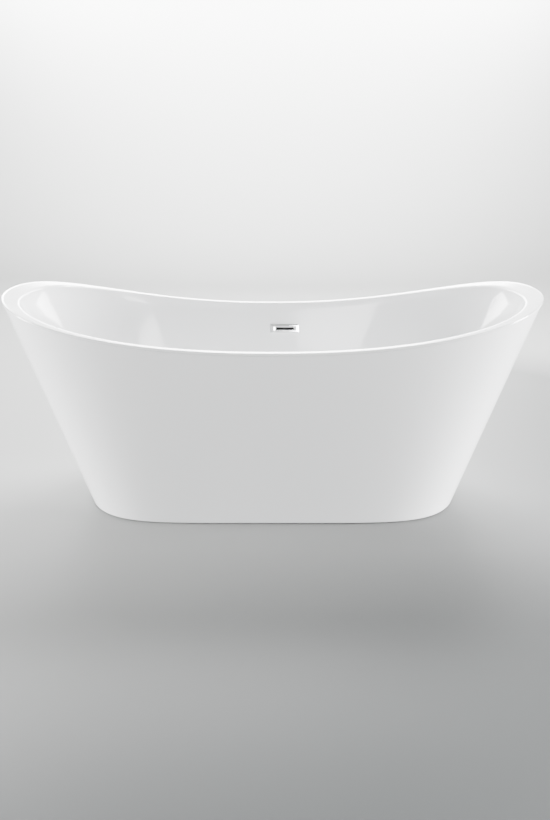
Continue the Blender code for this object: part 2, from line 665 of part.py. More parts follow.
def make_overflow(basin, drain_axis):
    """The overflow, about an empty on the wall: its +Y goes through the wall and its +Z up it."""
    place = RIM_HEIGHT_MIDDLE - OVERFLOW_DROP
    left = far_side(wall_foot, wall_top, DRAIN_PLACE - COVER_LENGTH / 2, place)
    right = far_side(wall_foot, wall_top, DRAIN_PLACE + COVER_LENGTH / 2, place)
    point = left.lerp(right, 0.5)
    above = far_side(wall_foot, wall_top, DRAIN_PLACE, place + COVER_HEIGHT)
    along = (right - left).normalized()
    through = (above - point).cross(along).normalized()
    seat = bpy.data.objects.new("seat_overflow", None)
    bpy.context.collection.objects.link(seat)
    seat.location = point
    seat.rotation_euler = Matrix((along, through, along.cross(through))).transposed().to_euler()

    boolean(basin, "DIFFERENCE", slot_cutter("wall_slot_cutter", WALL_SLOT_LENGTH, WALL_SLOT_HEIGHT, seat))
    cover = piece("overflow_cover", block((-COVER_LENGTH / 2, -GAP - COVER_THICKNESS, -COVER_HEIGHT / 2),
                                          (COVER_LENGTH / 2, -GAP, COVER_HEIGHT / 2)), CHROME, parent=seat)
    bevel = cover.modifiers.new("softened_edges", "BEVEL")
    bevel.width = COVER_BEVEL
    bevel.segments = 2
    boolean(cover, "DIFFERENCE", slot_cutter("cover_slot_cutter", SLOT_LENGTH, SLOT_HEIGHT, seat))

    seal_near = BASIN_WALL + GAP
    housing_near = seal_near + OVERFLOW_SEAL + GAP
    housing_far = housing_near + HOUSING_DEPTH
    seal = piece("overflow_gasket", block((-COVER_LENGTH / 2, seal_near, -HOUSING_HEIGHT / 2),
                                          (COVER_LENGTH / 2, seal_near + OVERFLOW_SEAL, HOUSING_HEIGHT / 2)),
                 RUBBER, parent=seat)
    boolean(seal, "DIFFERENCE", slot_cutter("gasket_slot_cutter", WALL_SLOT_LENGTH, WALL_SLOT_HEIGHT, seat))

    housing = piece("overflow_housing", block((-COVER_LENGTH / 2, housing_near, -HOUSING_HEIGHT / 2),
                                              (COVER_LENGTH / 2, housing_far, HOUSING_HEIGHT / 2)),
                    WASTE_PLASTIC, parent=seat)
    spigot = HOSE_BORE - RUNNING
    middle = housing_far - spigot
    foot = -HOUSING_HEIGHT / 2 - SPIGOT_REACH
    inside_floor = -HOUSING_HEIGHT / 2 + HOUSING_WALL / 2
    outlet = piece("outlet_pipe", turned([(spigot, foot), (spigot, inside_floor)]), None,
                   at=(0, middle, 0), parent=seat, helper=True)
    boolean(housing, "UNION", outlet)
    cavity = piece("housing_cavity_cutter",
                   block((-WALL_SLOT_LENGTH / 2, housing_near - PAST, HOUSING_WALL - HOUSING_HEIGHT / 2),
                         (WALL_SLOT_LENGTH / 2, housing_far - HOUSING_WALL,
                          HOUSING_HEIGHT / 2 - HOUSING_WALL)),
                   None, parent=seat, helper=True)
    boolean(housing, "DIFFERENCE", cavity)
    bore = spigot - TAILPIECE_WALL
    outlet_bore = piece("outlet_bore_cutter", turned([(bore, foot - PAST), (bore, 0)]), None,
                        at=(0, middle, 0), parent=seat, helper=True)
    boolean(housing, "DIFFERENCE", outlet_bore)

    for side, name in ((-1, "left"), (1, "right")):
        make_overflow_screw(basin, seal, housing, seat, side * (COVER_LENGTH / 2 - SCREW_INSET), name)
    make_hose(seat, drain_axis, Vector((0, middle, foot)))


def make_overflow_screw(basin, seal, housing, seat, place, name):
    """A screw from behind the cover through wall and gasket into the housing."""
    tip = BASIN_WALL + OVERFLOW_SEAL + HOUSING_DEPTH * SCREW_SHARE
    route = [Vector((place, 0, 0)), Vector((place, tip, 0))]
    piece(f"overflow_screw_{name}", skin(swept(route, SCREW), capped=True), ZINC, parent=seat)
    clear_route = [Vector((place, -PAST, 0)), Vector((place, tip + GAP, 0))]
    clear = piece(f"screw_cutter_{name}", skin(swept(clear_route, SCREW + GAP), capped=True), None,
                  parent=seat, helper=True)
    for body in (basin, seal, housing):
        boolean(body, "DIFFERENCE", clear)


def make_hose(seat, drain_axis, outlet):
    """The hose over both spigots, from the tee's branch up to the overflow's outlet."""
    bpy.context.view_layer.update()
    top = seat.matrix_world @ (outlet + Vector((0, 0, HOSE_LAP)))
    upward = (seat.matrix_world.to_3x3() @ Vector((0, 0, 1))).normalized()
    start = drain_axis.location + Vector((0, BRANCH_REACH - HOSE_LAP, TEE_TOP - BRANCH_DROP))
    end = Vector((start.x, top.y, top.z))
    lap_start = start + Vector((0, HOSE_LAP, 0))
    lap_end = end - upward * HOSE_LAP
    reach = HOSE_BEND * (lap_end - lap_start).length
    route = [start] + curve_points(lap_start, lap_start + Vector((0, reach, 0)), lap_end - upward * reach,
                                   lap_end, HOSE_POINTS) + [end]
    outside = HOSE_BORE + HOSE_WALL
    piece("overflow_hose", hose(route, HOSE_BORE, outside), WASTE_PLASTIC)
    clamp_bore = outside + GAP
    for name, middle, along in (("low", start + Vector((0, HOSE_LAP / 2, 0)), Vector((0, 1, 0))),
                                ("high", end - upward * HOSE_LAP / 2, upward)):
        band = [middle - along * CLAMP_WIDTH / 2, middle + along * CLAMP_WIDTH / 2]
        piece(f"hose_clamp_{name}", hose(band, clamp_bore, clamp_bore + CLAMP_WALL), ZINC)


tub_basin = make_basin()
make_skirt()
make_frame()
make_straps()
make_feet()
drain = make_drain(tub_basin)
make_overflow(tub_basin, drain)
bpy.context.view_layer.update()
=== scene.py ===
"""The looks of a freestanding double-slipper bathtub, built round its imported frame.

+X runs along the tub, +Y towards the overflow and +Z up, in metres.
"""

# %% [markdown]
# # The frame
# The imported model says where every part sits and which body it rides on. Everything modelled
# below stands in for one of its nodes, so the nodes are measured here and never moved.

import math

import bmesh
import bpy
from mathutils import Matrix, Vector


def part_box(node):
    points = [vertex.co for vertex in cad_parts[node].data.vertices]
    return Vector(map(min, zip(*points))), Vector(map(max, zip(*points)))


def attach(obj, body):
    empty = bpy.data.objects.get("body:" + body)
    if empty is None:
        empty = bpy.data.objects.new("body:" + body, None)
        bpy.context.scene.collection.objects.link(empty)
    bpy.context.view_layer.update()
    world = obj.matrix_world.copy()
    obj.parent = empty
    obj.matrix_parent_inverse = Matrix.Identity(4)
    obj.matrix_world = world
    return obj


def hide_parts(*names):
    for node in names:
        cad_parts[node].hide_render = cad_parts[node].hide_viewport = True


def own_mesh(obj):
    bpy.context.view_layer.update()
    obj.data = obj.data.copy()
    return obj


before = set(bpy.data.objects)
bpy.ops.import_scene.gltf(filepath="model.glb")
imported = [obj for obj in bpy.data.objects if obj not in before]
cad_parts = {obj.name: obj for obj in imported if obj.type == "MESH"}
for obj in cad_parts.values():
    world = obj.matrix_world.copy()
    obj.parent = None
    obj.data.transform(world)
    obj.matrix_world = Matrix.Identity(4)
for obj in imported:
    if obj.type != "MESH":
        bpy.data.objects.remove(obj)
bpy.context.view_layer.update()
FEET = [f"{row}_{end}" for row in ("front", "back") for end in ("left", "middle", "right")]
GAP, RUNNING = 0.0003, 0.0005

# %% [markdown]
# # Node wiring
# Node trees are long to write out by hand. One helper makes a node, sets it up and joins its
# inputs, and hands back the output that the next node needs. A second one opens a new group
# with named inputs and outputs, which is how one effect is shared by many finishes.

# %% Helpers for node trees
FLOAT, INTEGER, VECTOR = "NodeSocketFloat", "NodeSocketInt", "NodeSocketVector"
GEOMETRY, MATERIAL = "NodeSocketGeometry", "NodeSocketMaterial"


def wire(tree, kind, *values, out=0, into=None, **settings):
    """A node with its inputs set or joined, in order or by name. Returns one of its outputs."""
    node = tree.nodes.new(kind)
    for key, value in settings.items():
        setattr(node, key, value)
    pairs = list(zip(node.inputs, values))
    pairs += [(node.inputs[key], value) for key, value in (into or {}).items()]
    for socket, value in pairs:
        if isinstance(value, bpy.types.NodeSocket):
            tree.links.new(value, socket)
        elif value is not None:
            socket.default_value = value
    return node.outputs[out]


def maths(tree, operation, *values):
    return wire(tree, "ShaderNodeMath", *values, operation=operation)


def mixed(tree, share, first, second):
    """A colour between two colours."""
    node = tree.nodes.new("ShaderNodeMix")
    node.data_type = "RGBA"
    for place, value in ((0, share), (6, first), (7, second)):
        if isinstance(value, bpy.types.NodeSocket):
            tree.links.new(value, node.inputs[place])
        else:
            node.inputs[place].default_value = value
    return node.outputs[2]


def new_group(name, kind, takes, gives):
    """An empty node group. takes is {name: (socket, value)} and gives is {name: socket}."""
    tree = bpy.data.node_groups.new(name, kind)
    for label, (socket, value) in takes.items():
        made = tree.interface.new_socket(label, in_out="INPUT", socket_type=socket)
        if value is not None:
            made.default_value = value
    for label, socket in gives.items():
        tree.interface.new_socket(label, in_out="OUTPUT", socket_type=socket)
    given = tree.nodes.new("NodeGroupInput").outputs
    wanted = tree.nodes.new("NodeGroupOutput").inputs
    return tree, given, wanted


# %% [markdown]
# # Effects that several finishes share
# Real surfaces are never even. A polished sheet has wipe marks that change its gloss, moulded
# and sprayed ones have a fine orange peel, dust settles where a face looks up, and handling
# brightens an edge. Each effect is a group that puts out a mask, a height or a roughness, so
# every finish can take it in its own strength.

# %% Groups for wipe marks, orange peel, dust, edge wear and drawn lines
def noise(tree, place, scale, detail=3.0):
    return wire(tree, "ShaderNodeTexNoise", into={"Vector": place, "Scale": scale, "Detail": detail})


def object_place(tree):
    return wire(tree, "ShaderNodeTexCoord", out="Object")


def spread(tree, value, low, high, to_low=0.0, to_high=1.0):
    """A value between low and high, spread over another range and held inside it."""
    return wire(tree, "ShaderNodeMapRange", value, low, high, to_low, to_high)


def make_wipe_marks():
    tree, given, wanted = new_group("wipe_marks", "ShaderNodeTree", {
        "Scale": (FLOAT, 5.0), "Least": (FLOAT, 0.05), "Most": (FLOAT, 0.12)}, {"Roughness": FLOAT})
    place = object_place(tree)
    broad = noise(tree, place, given["Scale"], 4.0)
    long_place = wire(tree, "ShaderNodeMapping", place, None, (0.3, 0.2, 0.9), (1.0, 7.0, 2.5))
    streaks = noise(tree, long_place, given["Scale"], 2.0)
    both = maths(tree, "MULTIPLY", broad, streaks)
    marks = spread(tree, both, 0.16, 0.36, given["Least"], given["Most"])
    tree.links.new(marks, wanted["Roughness"])
    return tree


def make_orange_peel():
    tree, given, wanted = new_group("orange_peel", "ShaderNodeTree", {
        "Scale": (FLOAT, 120.0), "Waves": (FLOAT, 0.5)}, {"Height": FLOAT})
    place = object_place(tree)
    grain = noise(tree, place, given["Scale"], 2.0)
    wave = noise(tree, place, maths(tree, "MULTIPLY", given["Scale"], 0.06), 1.0)
    tall = maths(tree, "MULTIPLY_ADD", wave, given["Waves"], grain)
    tree.links.new(tall, wanted["Height"])
    return tree


def make_settled_dust():
    tree, given, wanted = new_group("settled_dust", "ShaderNodeTree", {
        "Amount": (FLOAT, 0.2), "Scale": (FLOAT, 40.0)}, {"Mask": FLOAT})
    up = wire(tree, "ShaderNodeSeparateXYZ", wire(tree, "ShaderNodeNewGeometry", out="Normal"), out="Z")
    facing = spread(tree, up, 0.2, 1.0)
    specks = spread(tree, noise(tree, object_place(tree), given["Scale"], 6.0), 0.42, 0.68)
    mask = maths(tree, "MULTIPLY", maths(tree, "MULTIPLY", facing, specks), given["Amount"])
    tree.links.new(mask, wanted["Mask"])
    return tree


def make_edge_wear():
    tree, given, wanted = new_group("edge_wear", "ShaderNodeTree", {
        "Amount": (FLOAT, 0.5), "Scale": (FLOAT, 90.0)}, {"Mask": FLOAT})
    sharpness = wire(tree, "ShaderNodeNewGeometry", out="Pointiness")
    edge = spread(tree, sharpness, 0.52, 0.60)
    broken = spread(tree, noise(tree, object_place(tree), given["Scale"], 5.0), 0.35, 0.6)
    mask = maths(tree, "MULTIPLY", maths(tree, "MULTIPLY", edge, broken), given["Amount"])
    tree.links.new(mask, wanted["Mask"])
    return tree


def make_drawn_lines():
    tree, given, wanted = new_group("drawn_lines", "ShaderNodeTree", {
        "Scale": (FLOAT, 20.0), "Stretch": (VECTOR, (1.0, 1.0, 60.0))}, {"Height": FLOAT})
    along = wire(tree, "ShaderNodeVectorMath", object_place(tree), given["Stretch"], operation="MULTIPLY")
    tree.links.new(noise(tree, along, given["Scale"], 3.0), wanted["Height"])
    return tree


WIPES, PEEL, DUST = make_wipe_marks(), make_orange_peel(), make_settled_dust()
WEAR, LINES = make_edge_wear(), make_drawn_lines()
print("shared effects", [tree.name for tree in (WIPES, PEEL, DUST, WEAR, LINES)])

# %% [markdown]
# # Finishes
# Every finish is a Principled shader fed by the shared effects: a colour that drifts a little,
# wipe marks for its gloss, a fine relief, dust on top and worn edges. What is the same all over
# a surface, such as its index of refraction, is set on the shader's own socket.

# %% The recipe for a finish, and the finishes
def effect(tree, group, out, **values):
    node = tree.nodes.new("ShaderNodeGroup")
    node.node_tree = group
    for key, value in values.items():
        node.inputs[key].default_value = value
    return node.outputs[out]


def finish(name, colour, second, gloss, metal=0.0, drift=3.0, wipe=5.0, relief=(120.0, 0.5), depth=0.00002,
           dust=(0.0, 40.0), wear=(0.0, (0.8, 0.8, 0.8)), drawn=None, **sockets):
    """A material. gloss is its least and most roughness, and second the colour it drifts to."""
    material = bpy.data.materials.new(name)
    material.use_nodes = True
    tree = material.node_tree
    shader = tree.nodes["Principled BSDF"]
    patches = spread(tree, noise(tree, object_place(tree), drift, 4.0), 0.35, 0.65)
    tint = mixed(tree, patches, (*colour, 1.0), (*second, 1.0))
    if wear[0]:
        worn = effect(tree, WEAR, "Mask", Amount=wear[0])
        tint = mixed(tree, worn, tint, (*wear[1], 1.0))
    rough = effect(tree, WIPES, "Roughness", Scale=wipe, Least=gloss[0], Most=gloss[1])
    if dust[0]:
        settled = effect(tree, DUST, "Mask", Amount=dust[0], Scale=dust[1])
        tint = mixed(tree, settled, tint, (0.62, 0.60, 0.57, 1.0))
        rough = maths(tree, "MULTIPLY_ADD", settled, 0.6, rough)
    tree.links.new(tint, shader.inputs["Base Color"])
    tree.links.new(rough, shader.inputs["Roughness"])
    shader.inputs["Metallic"].default_value = metal
    height = effect(tree, PEEL, "Height", Scale=relief[0], Waves=relief[1])
    if drawn:
        lines = effect(tree, LINES, "Height", Scale=drawn[0], Stretch=drawn[1])
        height = maths(tree, "ADD", height, lines)
    bump = wire(tree, "ShaderNodeBump", into={"Strength": 1.0, "Distance": depth, "Height": height})
    tree.links.new(bump, shader.inputs["Normal"])
    for key, value in sockets.items():
        shader.inputs[key.replace("_", " ")].default_value = value
    return material


ACRYLIC = finish("white_acrylic", (0.89, 0.895, 0.90), (0.875, 0.882, 0.89), (0.07, 0.13), drift=1.4,
                 wipe=2.2, relief=(70.0, 1.6), depth=0.00003, dust=(0.05, 30.0), IOR=1.49)
CHROME = finish("chrome", (0.86, 0.865, 0.875), (0.82, 0.83, 0.845), (0.03, 0.09), metal=1.0, drift=30.0,
                wipe=25.0, relief=(300.0, 0.2), depth=0.000003, dust=(0.04, 200.0))
BRASS = finish("brass", (0.78, 0.60, 0.32), (0.62, 0.46, 0.24), (0.22, 0.40), metal=1.0, drift=25.0,
               wipe=30.0, relief=(500.0, 0.3), depth=0.00001, drawn=(30.0, (1.0, 1.0, 60.0)))
SPRING_STEEL = finish("spring_steel", (0.62, 0.63, 0.65), (0.50, 0.51, 0.53), (0.20, 0.34), metal=1.0,
                      drift=60.0, wipe=60.0, depth=0.000004)
ZINC = finish("zinc_steel", (0.66, 0.67, 0.66), (0.52, 0.53, 0.55), (0.30, 0.48), metal=1.0, drift=18.0,
              wipe=20.0, relief=(420.0, 0.6), depth=0.00002, dust=(0.10, 60.0),
              wear=(0.5, (0.82, 0.82, 0.80)))
FRAME_PAINT = finish("frame_paint", (0.085, 0.088, 0.092), (0.070, 0.073, 0.078), (0.34, 0.50), drift=6.0,
                     wipe=8.0, relief=(260.0, 0.8), depth=0.00003, dust=(0.06, 50.0),
                     wear=(0.2, (0.30, 0.30, 0.30)), Coat_Weight=0.15)
RUBBER = finish("rubber", (0.035, 0.035, 0.036), (0.055, 0.054, 0.052), (0.62, 0.82), drift=20.0, wipe=25.0,
                relief=(600.0, 0.3), depth=0.00004, dust=(0.15, 120.0))
PAD_PLASTIC = finish("pad_plastic", (0.045, 0.045, 0.047), (0.06, 0.06, 0.06), (0.42, 0.60), drift=20.0,
                     wipe=22.0, relief=(700.0, 0.2), depth=0.00005, dust=(0.20, 90.0),
                     wear=(0.4, (0.16, 0.16, 0.16)))
# A near-black copy of the waste plastic, as painted shade: it makes the view through the cover's slot dark, as
# shade in the cavity behind would.
SLOT_SHADE_PLASTIC = finish("waste_plastic_painted_slot_shade", (0.020, 0.020, 0.021), (0.030, 0.030, 0.030), (0.45, 0.62),
                      drift=9.0, wipe=14.0, relief=(480.0, 0.4), depth=0.00003, dust=(0.10, 70.0))
WASTE_PLASTIC = finish("waste_plastic", (0.64, 0.65, 0.64), (0.57, 0.58, 0.57), (0.30, 0.46), drift=9.0,
                       wipe=14.0, relief=(480.0, 0.4), depth=0.00003, dust=(0.15, 70.0))
HOSE_PLASTIC = finish("hose_plastic", (0.60, 0.61, 0.61), (0.53, 0.54, 0.54), (0.34, 0.50), drift=9.0,
                      wipe=12.0, relief=(400.0, 0.5), depth=0.00003, dust=(0.20, 70.0))
print("finishes", len(bpy.data.materials))

# %% [markdown]
# # Plywood
# The board under the basin is raw birch ply. Its faces show long, uneven grain, and its edges
# show the plies as light and dark layers. The layers are bands of height, so they only need the
# board's own thickness and the number of plies.

# %% The plywood finish
PLIES = 9


def make_plywood(low, high):
    material = bpy.data.materials.new("plywood")
    material.use_nodes = True
    tree = material.node_tree
    shader = tree.nodes["Principled BSDF"]
    place = object_place(tree)
    long_grain = wire(tree, "ShaderNodeMapping", place, None, None, (1.5, 26.0, 26.0))
    grain = noise(tree, long_grain, 3.0, 8.0)
    face = mixed(tree, spread(tree, grain, 0.3, 0.7), (0.66, 0.50, 0.32, 1.0), (0.47, 0.32, 0.18, 1.0))
    level = spread(tree, wire(tree, "ShaderNodeSeparateXYZ", place, out="Z"), low, high, 0.0, float(PLIES))
    ply = maths(tree, "GREATER_THAN", maths(tree, "MODULO", level, 2.0), 1.0)
    layers = mixed(tree, ply, (0.60, 0.44, 0.27, 1.0), (0.34, 0.22, 0.12, 1.0))
    up = wire(tree, "ShaderNodeSeparateXYZ", wire(tree, "ShaderNodeNewGeometry", out="Normal"), out="Z")
    is_face = spread(tree, maths(tree, "ABSOLUTE", up), 0.5, 0.7)
    tree.links.new(mixed(tree, is_face, layers, face), shader.inputs["Base Color"])
    rough = effect(tree, WIPES, "Roughness", Scale=12.0, Least=0.55, Most=0.80)
    tree.links.new(rough, shader.inputs["Roughness"])
    bump = wire(tree, "ShaderNodeBump", into={"Strength": 1.0, "Distance": 0.0002, "Height": grain})
    tree.links.new(bump, shader.inputs["Normal"])
    return material


board_low, board_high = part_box("floor_board")
PLYWOOD = make_plywood(board_low.z, board_high.z)
print("plies", PLIES, "each", round((board_high.z - board_low.z) / PLIES * 1000, 2), "mm")

# %% [markdown]
# # Shaping helpers
# Most of the metal and plastic here is turned, extruded or cut from plate. All of those are
# rings of points with faces between them. No real edge is knife sharp, so a profile's corners
# are rounded before it is turned, which also gives each piece its thin line of highlight.

# %% Rings, rounded corners, turned and plate shapes
MERGE = 0.000004
SOFT, FINE = 0.0004, 0.0002
UPRIGHT = Matrix.Identity(4)


def skin(rings, joined=False, capped=False):
    """Points and faces over rings with the same number of points."""
    count = len(rings[0])
    points = [point for ring in rings for point in ring]
    steps = [(k, k + 1) for k in range(len(rings) - 1)]
    if joined:
        steps.append((len(rings) - 1, 0))
    faces = []
    for near, far in steps:
        for j in range(count):
            beside = (j + 1) % count
            faces.append((near * count + j, far * count + j, far * count + beside, near * count + beside))
    if capped:
        faces.append(tuple(range(count)))
        faces.append(tuple(reversed(range(len(points) - count, len(points)))))
    return points, faces


def rounded(start, corner, end, t):
    """A point of the parabola that rounds off a corner."""
    return start * (1 - t) ** 2 + corner * 2 * t * (1 - t) + end * t * t


def softened(corners, radius=SOFT, closed=True, steps=3):
    """A line of points with its corners rounded off. The ends of an open line stay."""
    points = []
    for k, corner in enumerate(corners):
        if not closed and k in (0, len(corners) - 1):
            points.append(corner)
            continue
        before, after = corners[k - 1], corners[(k + 1) % len(corners)]
        reach = min(radius, 0.45 * (before - corner).length, 0.45 * (after - corner).length)
        start = corner + (before - corner).normalized() * reach
        end = corner + (after - corner).normalized() * reach
        points += [rounded(start, corner, end, j / steps) for j in range(steps + 1)]
    return points


def turned(profile, axis=UPRIGHT, hollow=False, soft=SOFT, count=72):
    """A turned shape from (radius, height) pairs, a closed ring where it is hollow."""
    rings = []
    for radius, height in softened([Vector(pair) for pair in profile], soft, closed=hollow):
        turns = [2 * math.pi * j / count for j in range(count)]
        rings.append([axis @ Vector((radius * math.cos(t), radius * math.sin(t), height)) for t in turns])
    return skin(rings, joined=hollow, capped=not hollow)


def tube(bore, outside, low, high):
    return [(bore, low), (outside, low), (outside, high), (bore, high)]


def rectangle(half_x, half_y, corner, middle=(0.0, 0.0), steps=6):
    """Points round a rectangle with round corners."""
    points = []
    for quarter, (a, b) in enumerate(((1, 1), (-1, 1), (-1, -1), (1, -1))):
        for j in range(steps + 1):
            turn = math.pi / 2 * (quarter + j / steps)
            points.append(Vector((middle[0] + a * (half_x - corner) + corner * math.cos(turn),
                                  middle[1] + b * (half_y - corner) + corner * math.sin(turn))))
    return points


def hole_towards(points, radius):
    """A circle with one point under each of the points round it."""
    return [point.normalized() * radius for point in points]


def layers(outlines, axis=UPRIGHT, joined=False, capped=False):
    """A shape over flat outlines, each with its height."""
    rings = [[axis @ Vector((point.x, point.y, height)) for point in points] for points, height in outlines]
    return skin(rings, joined=joined, capped=capped)


def plate(half_x, half_y, corner, low, high, edge=SOFT, axis=UPRIGHT, middle=(0.0, 0.0)):
    """A plate or block with its outer edges rounded."""
    outlines = []
    for k in range(5):
        inset, rise = edge * (1 - math.sin(math.pi / 8 * k)), edge * (1 - math.cos(math.pi / 8 * k))
        outlines.append((rectangle(half_x - inset, half_y - inset, max(corner - inset, SOFT / 4), middle),
                         low + rise))
    outlines += [(points, low + high - height) for points, height in reversed(outlines)]
    return layers(outlines, axis, capped=True)


# %% [markdown]
# # Settling a piece
# Whatever made it, each piece ends the same way: doubles merged, faces turned outwards, smooth
# shading with true corners kept, one finish, and its place in the frame: the body it rides on
# and the nodes it stands for.

# %% Settling a piece into the frame
SHARP = 38


def settle(piece, material, body="tub", nodes=()):
    mesh = piece.data
    work = bmesh.new()
    work.from_mesh(mesh)
    bmesh.ops.remove_doubles(work, verts=work.verts, dist=MERGE)
    bmesh.ops.recalc_face_normals(work, faces=work.faces)
    work.to_mesh(mesh)
    work.free()
    mesh.shade_smooth()
    mesh.set_sharp_from_angle(angle=math.radians(SHARP))
    mesh.materials.clear()
    mesh.materials.append(material)
    if piece.name not in bpy.context.collection.objects:
        bpy.context.collection.objects.link(piece)
    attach(piece, body)
    if nodes:
        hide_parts(*nodes)
    print(f"{piece.name}: {len(mesh.polygons)} faces on {body}")
    return piece


def raw_piece(name, *shapes):
    """An object over one or more shapes, not settled yet."""
    points, faces = [], []
    for some_points, some_faces in shapes:
        start = len(points)
        points += some_points
        faces += [tuple(start + k for k in face) for face in some_faces]
    mesh = bpy.data.meshes.new(name)
    mesh.from_pydata(points, [], faces)
    return bpy.data.objects.new(name, mesh)


def make(name, shapes, material, body="tub", nodes=None):
    return settle(raw_piece(name, *shapes), material, body, (name,) if nodes is None else nodes)


# %% [markdown]
# # Growing a piece from a node tree
# A Geometry Nodes tree is a recipe with named sizes. This helper gives a tree its sizes by the
# sockets' identifiers, lets Blender work it out once, keeps the result as a plain mesh and takes
# the modifier off again.

# %% Growing a piece from Geometry Nodes
def grow(name, tree, material, start=None, **sizes):
    piece = start or bpy.data.objects.new(name, bpy.data.meshes.new(name))
    piece.name = name
    bpy.context.collection.objects.link(piece)
    recipe = piece.modifiers.new("recipe", "NODES")
    recipe.node_group = tree
    values = {key.replace("_", " "): value for key, value in sizes.items()} | {"Material": material}
    for socket in tree.interface.items_tree:
        if socket.in_out == "INPUT" and socket.name in values:
            recipe[socket.identifier] = values[socket.name]
    graph = bpy.context.evaluated_depsgraph_get()
    mesh = bpy.data.meshes.new_from_object(piece.evaluated_get(graph))
    piece.modifiers.clear()
    piece.data = mesh
    return piece


def end_tree(tree, wanted, material, geometry):
    """The last nodes of every tree: real geometry, then its material."""
    real = wire(tree, "GeometryNodeRealizeInstances", geometry)
    tree.links.new(wire(tree, "GeometryNodeSetMaterial", real, None, material), wanted["Geometry"])
    return tree


def moved(tree, geometry, place, turn=None, size=None):
    into = {"Translation": place, "Rotation": turn, "Scale": size}
    return wire(tree, "GeometryNodeTransform", geometry, into=into)


def together(tree, *parts):
    node = tree.nodes.new("GeometryNodeJoinGeometry")
    for part in parts:
        tree.links.new(part, node.inputs[0])
    return node.outputs[0]


# %% [markdown]
# # The rule of the tub
# Seen from above, the rim, the floor and the foot are all one family of curve: an oval pulled
# towards a rectangle by two powers. The rim also rises towards both ends like a saddle. Every
# surface of the basin and the skirt is spanned between such curves, so a few sizes hold the
# whole form, and it can be made as fine as the highlights on a polished sheet need.

# %% Outlines of the rim, the floor and the walls
TURNS = 360
around = [2 * math.pi * k / TURNS for k in range(TURNS)]
rim_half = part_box("basin")[1]
RIM_MIDDLE, SADDLE = 0.590, 2.2
RIM_SQUARENESS, FLOOR_SQUARENESS, BASE_SQUARENESS = (4.8, 2.3), (3.6, 2.3), (5.8, 2.0)
LAND_ENDS, LAND_SIDES, ROLL, LIP, WALL = 0.054, 0.028, 0.009, 0.008, 0.006
LEAN_ENDS, LEAN_SIDES, FLOOR = 0.236, 0.157, 0.145
FILLET, FILLET_SHARE = 0.060, 0.5
DRAIN_X = 0.045


def outline(turn, half_length, half_width, squareness):
    power_x, power_y = squareness
    across = math.cos(turn)
    y = max(0.0, 1 - abs(across) ** power_x) ** (1 / power_y)
    return half_length * across, math.copysign(half_width * y, math.sin(turn))


def rim_edge(turn, inset_ends, inset_sides, drop=0.0):
    """A point in from the rim's outer edge, and down from its saddle."""
    x, y = outline(turn, rim_half.x - inset_ends, rim_half.y - inset_sides, RIM_SQUARENESS)
    return Vector((x, y, RIM_MIDDLE + (rim_half.z - RIM_MIDDLE) * abs(x / rim_half.x) ** SADDLE - drop))


def floor_line(turn, inset):
    half_length = rim_half.x - LAND_ENDS - LEAN_ENDS - inset
    half_width = rim_half.y - LAND_SIDES - LEAN_SIDES - inset
    return Vector((*outline(turn, half_length, half_width, FLOOR_SQUARENESS), FLOOR))


def wall_top(turn):
    return rim_edge(turn, LAND_ENDS, LAND_SIDES, ROLL)


def on_wall(turn, share):
    return floor_line(turn, 0.0).lerp(wall_top(turn), share)


print("rim", [round(2 * value, 3) for value in rim_half.xy], "saddle", round(rim_half.z - RIM_MIDDLE, 3))

# %% [markdown]
# # The basin
# The real basin is one sheet of acrylic, drawn down into a mould by vacuum and cut off at the
# rim. Its wall sweeps into the floor, and a soft roll turns it onto the flat land of the rim.
# The bathing side is built as rings, the hidden side is the same rings moved in by the sheet's
# thickness along their own slope, and the lip joins the two. The overflow's slot is cut after.

# %% Rings of the bathing side
FLOOR_STEPS, FILLET_STEPS, WALL_STEPS, ROLL_STEPS, LAND_STEPS = 5, 16, 8, 8, 4
RIM_SOFT, LIP_SOFT = 0.0018, 0.0010
DRAIN_HOLE = 0.0205


def drain_edge(turn, height=FLOOR):
    """The drain hole's edge, in line with the floor's edge at the same turn."""
    edge = floor_line(turn, FILLET)
    away = Vector((edge.x - DRAIN_X, edge.y, 0)).normalized()
    return Vector((DRAIN_X, 0, height)) + away * DRAIN_HOLE


def bathing_side():
    rows = []
    for k in range(FLOOR_STEPS):
        rows.append([drain_edge(t).lerp(floor_line(t, FILLET), (k / FLOOR_STEPS) ** 1.6) for t in around])
    for k in range(FILLET_STEPS + 1):
        rows.append([rounded(floor_line(t, FILLET), floor_line(t, 0.0), on_wall(t, FILLET_SHARE),
                             k / FILLET_STEPS) for t in around])
    for k in range(1, WALL_STEPS + 1):
        rows.append([on_wall(t, FILLET_SHARE + (1 - FILLET_SHARE) * k / WALL_STEPS) for t in around])
    for k in range(1, ROLL_STEPS + 1):
        share = k / ROLL_STEPS
        rows.append([rounded(wall_top(t), rim_edge(t, LAND_ENDS, LAND_SIDES),
                             rim_edge(t, LAND_ENDS - ROLL, LAND_SIDES - ROLL), share) for t in around])
    return rows


def land_row(share, drop=0.0):
    """A ring on the rim's land: 0 at its outer edge and 1 where the roll begins."""
    return [rim_edge(t, share * (LAND_ENDS - ROLL), share * (LAND_SIDES - ROLL), drop) for t in around]


def slope(rows, i, j):
    """The direction out of the sheet at one point of the rings."""
    up = rows[min(i + 1, len(rows) - 1)][j] - rows[max(i - 1, 0)][j]
    along = rows[i][(j + 1) % TURNS] - rows[i][j - 1]
    return up.cross(along).normalized()


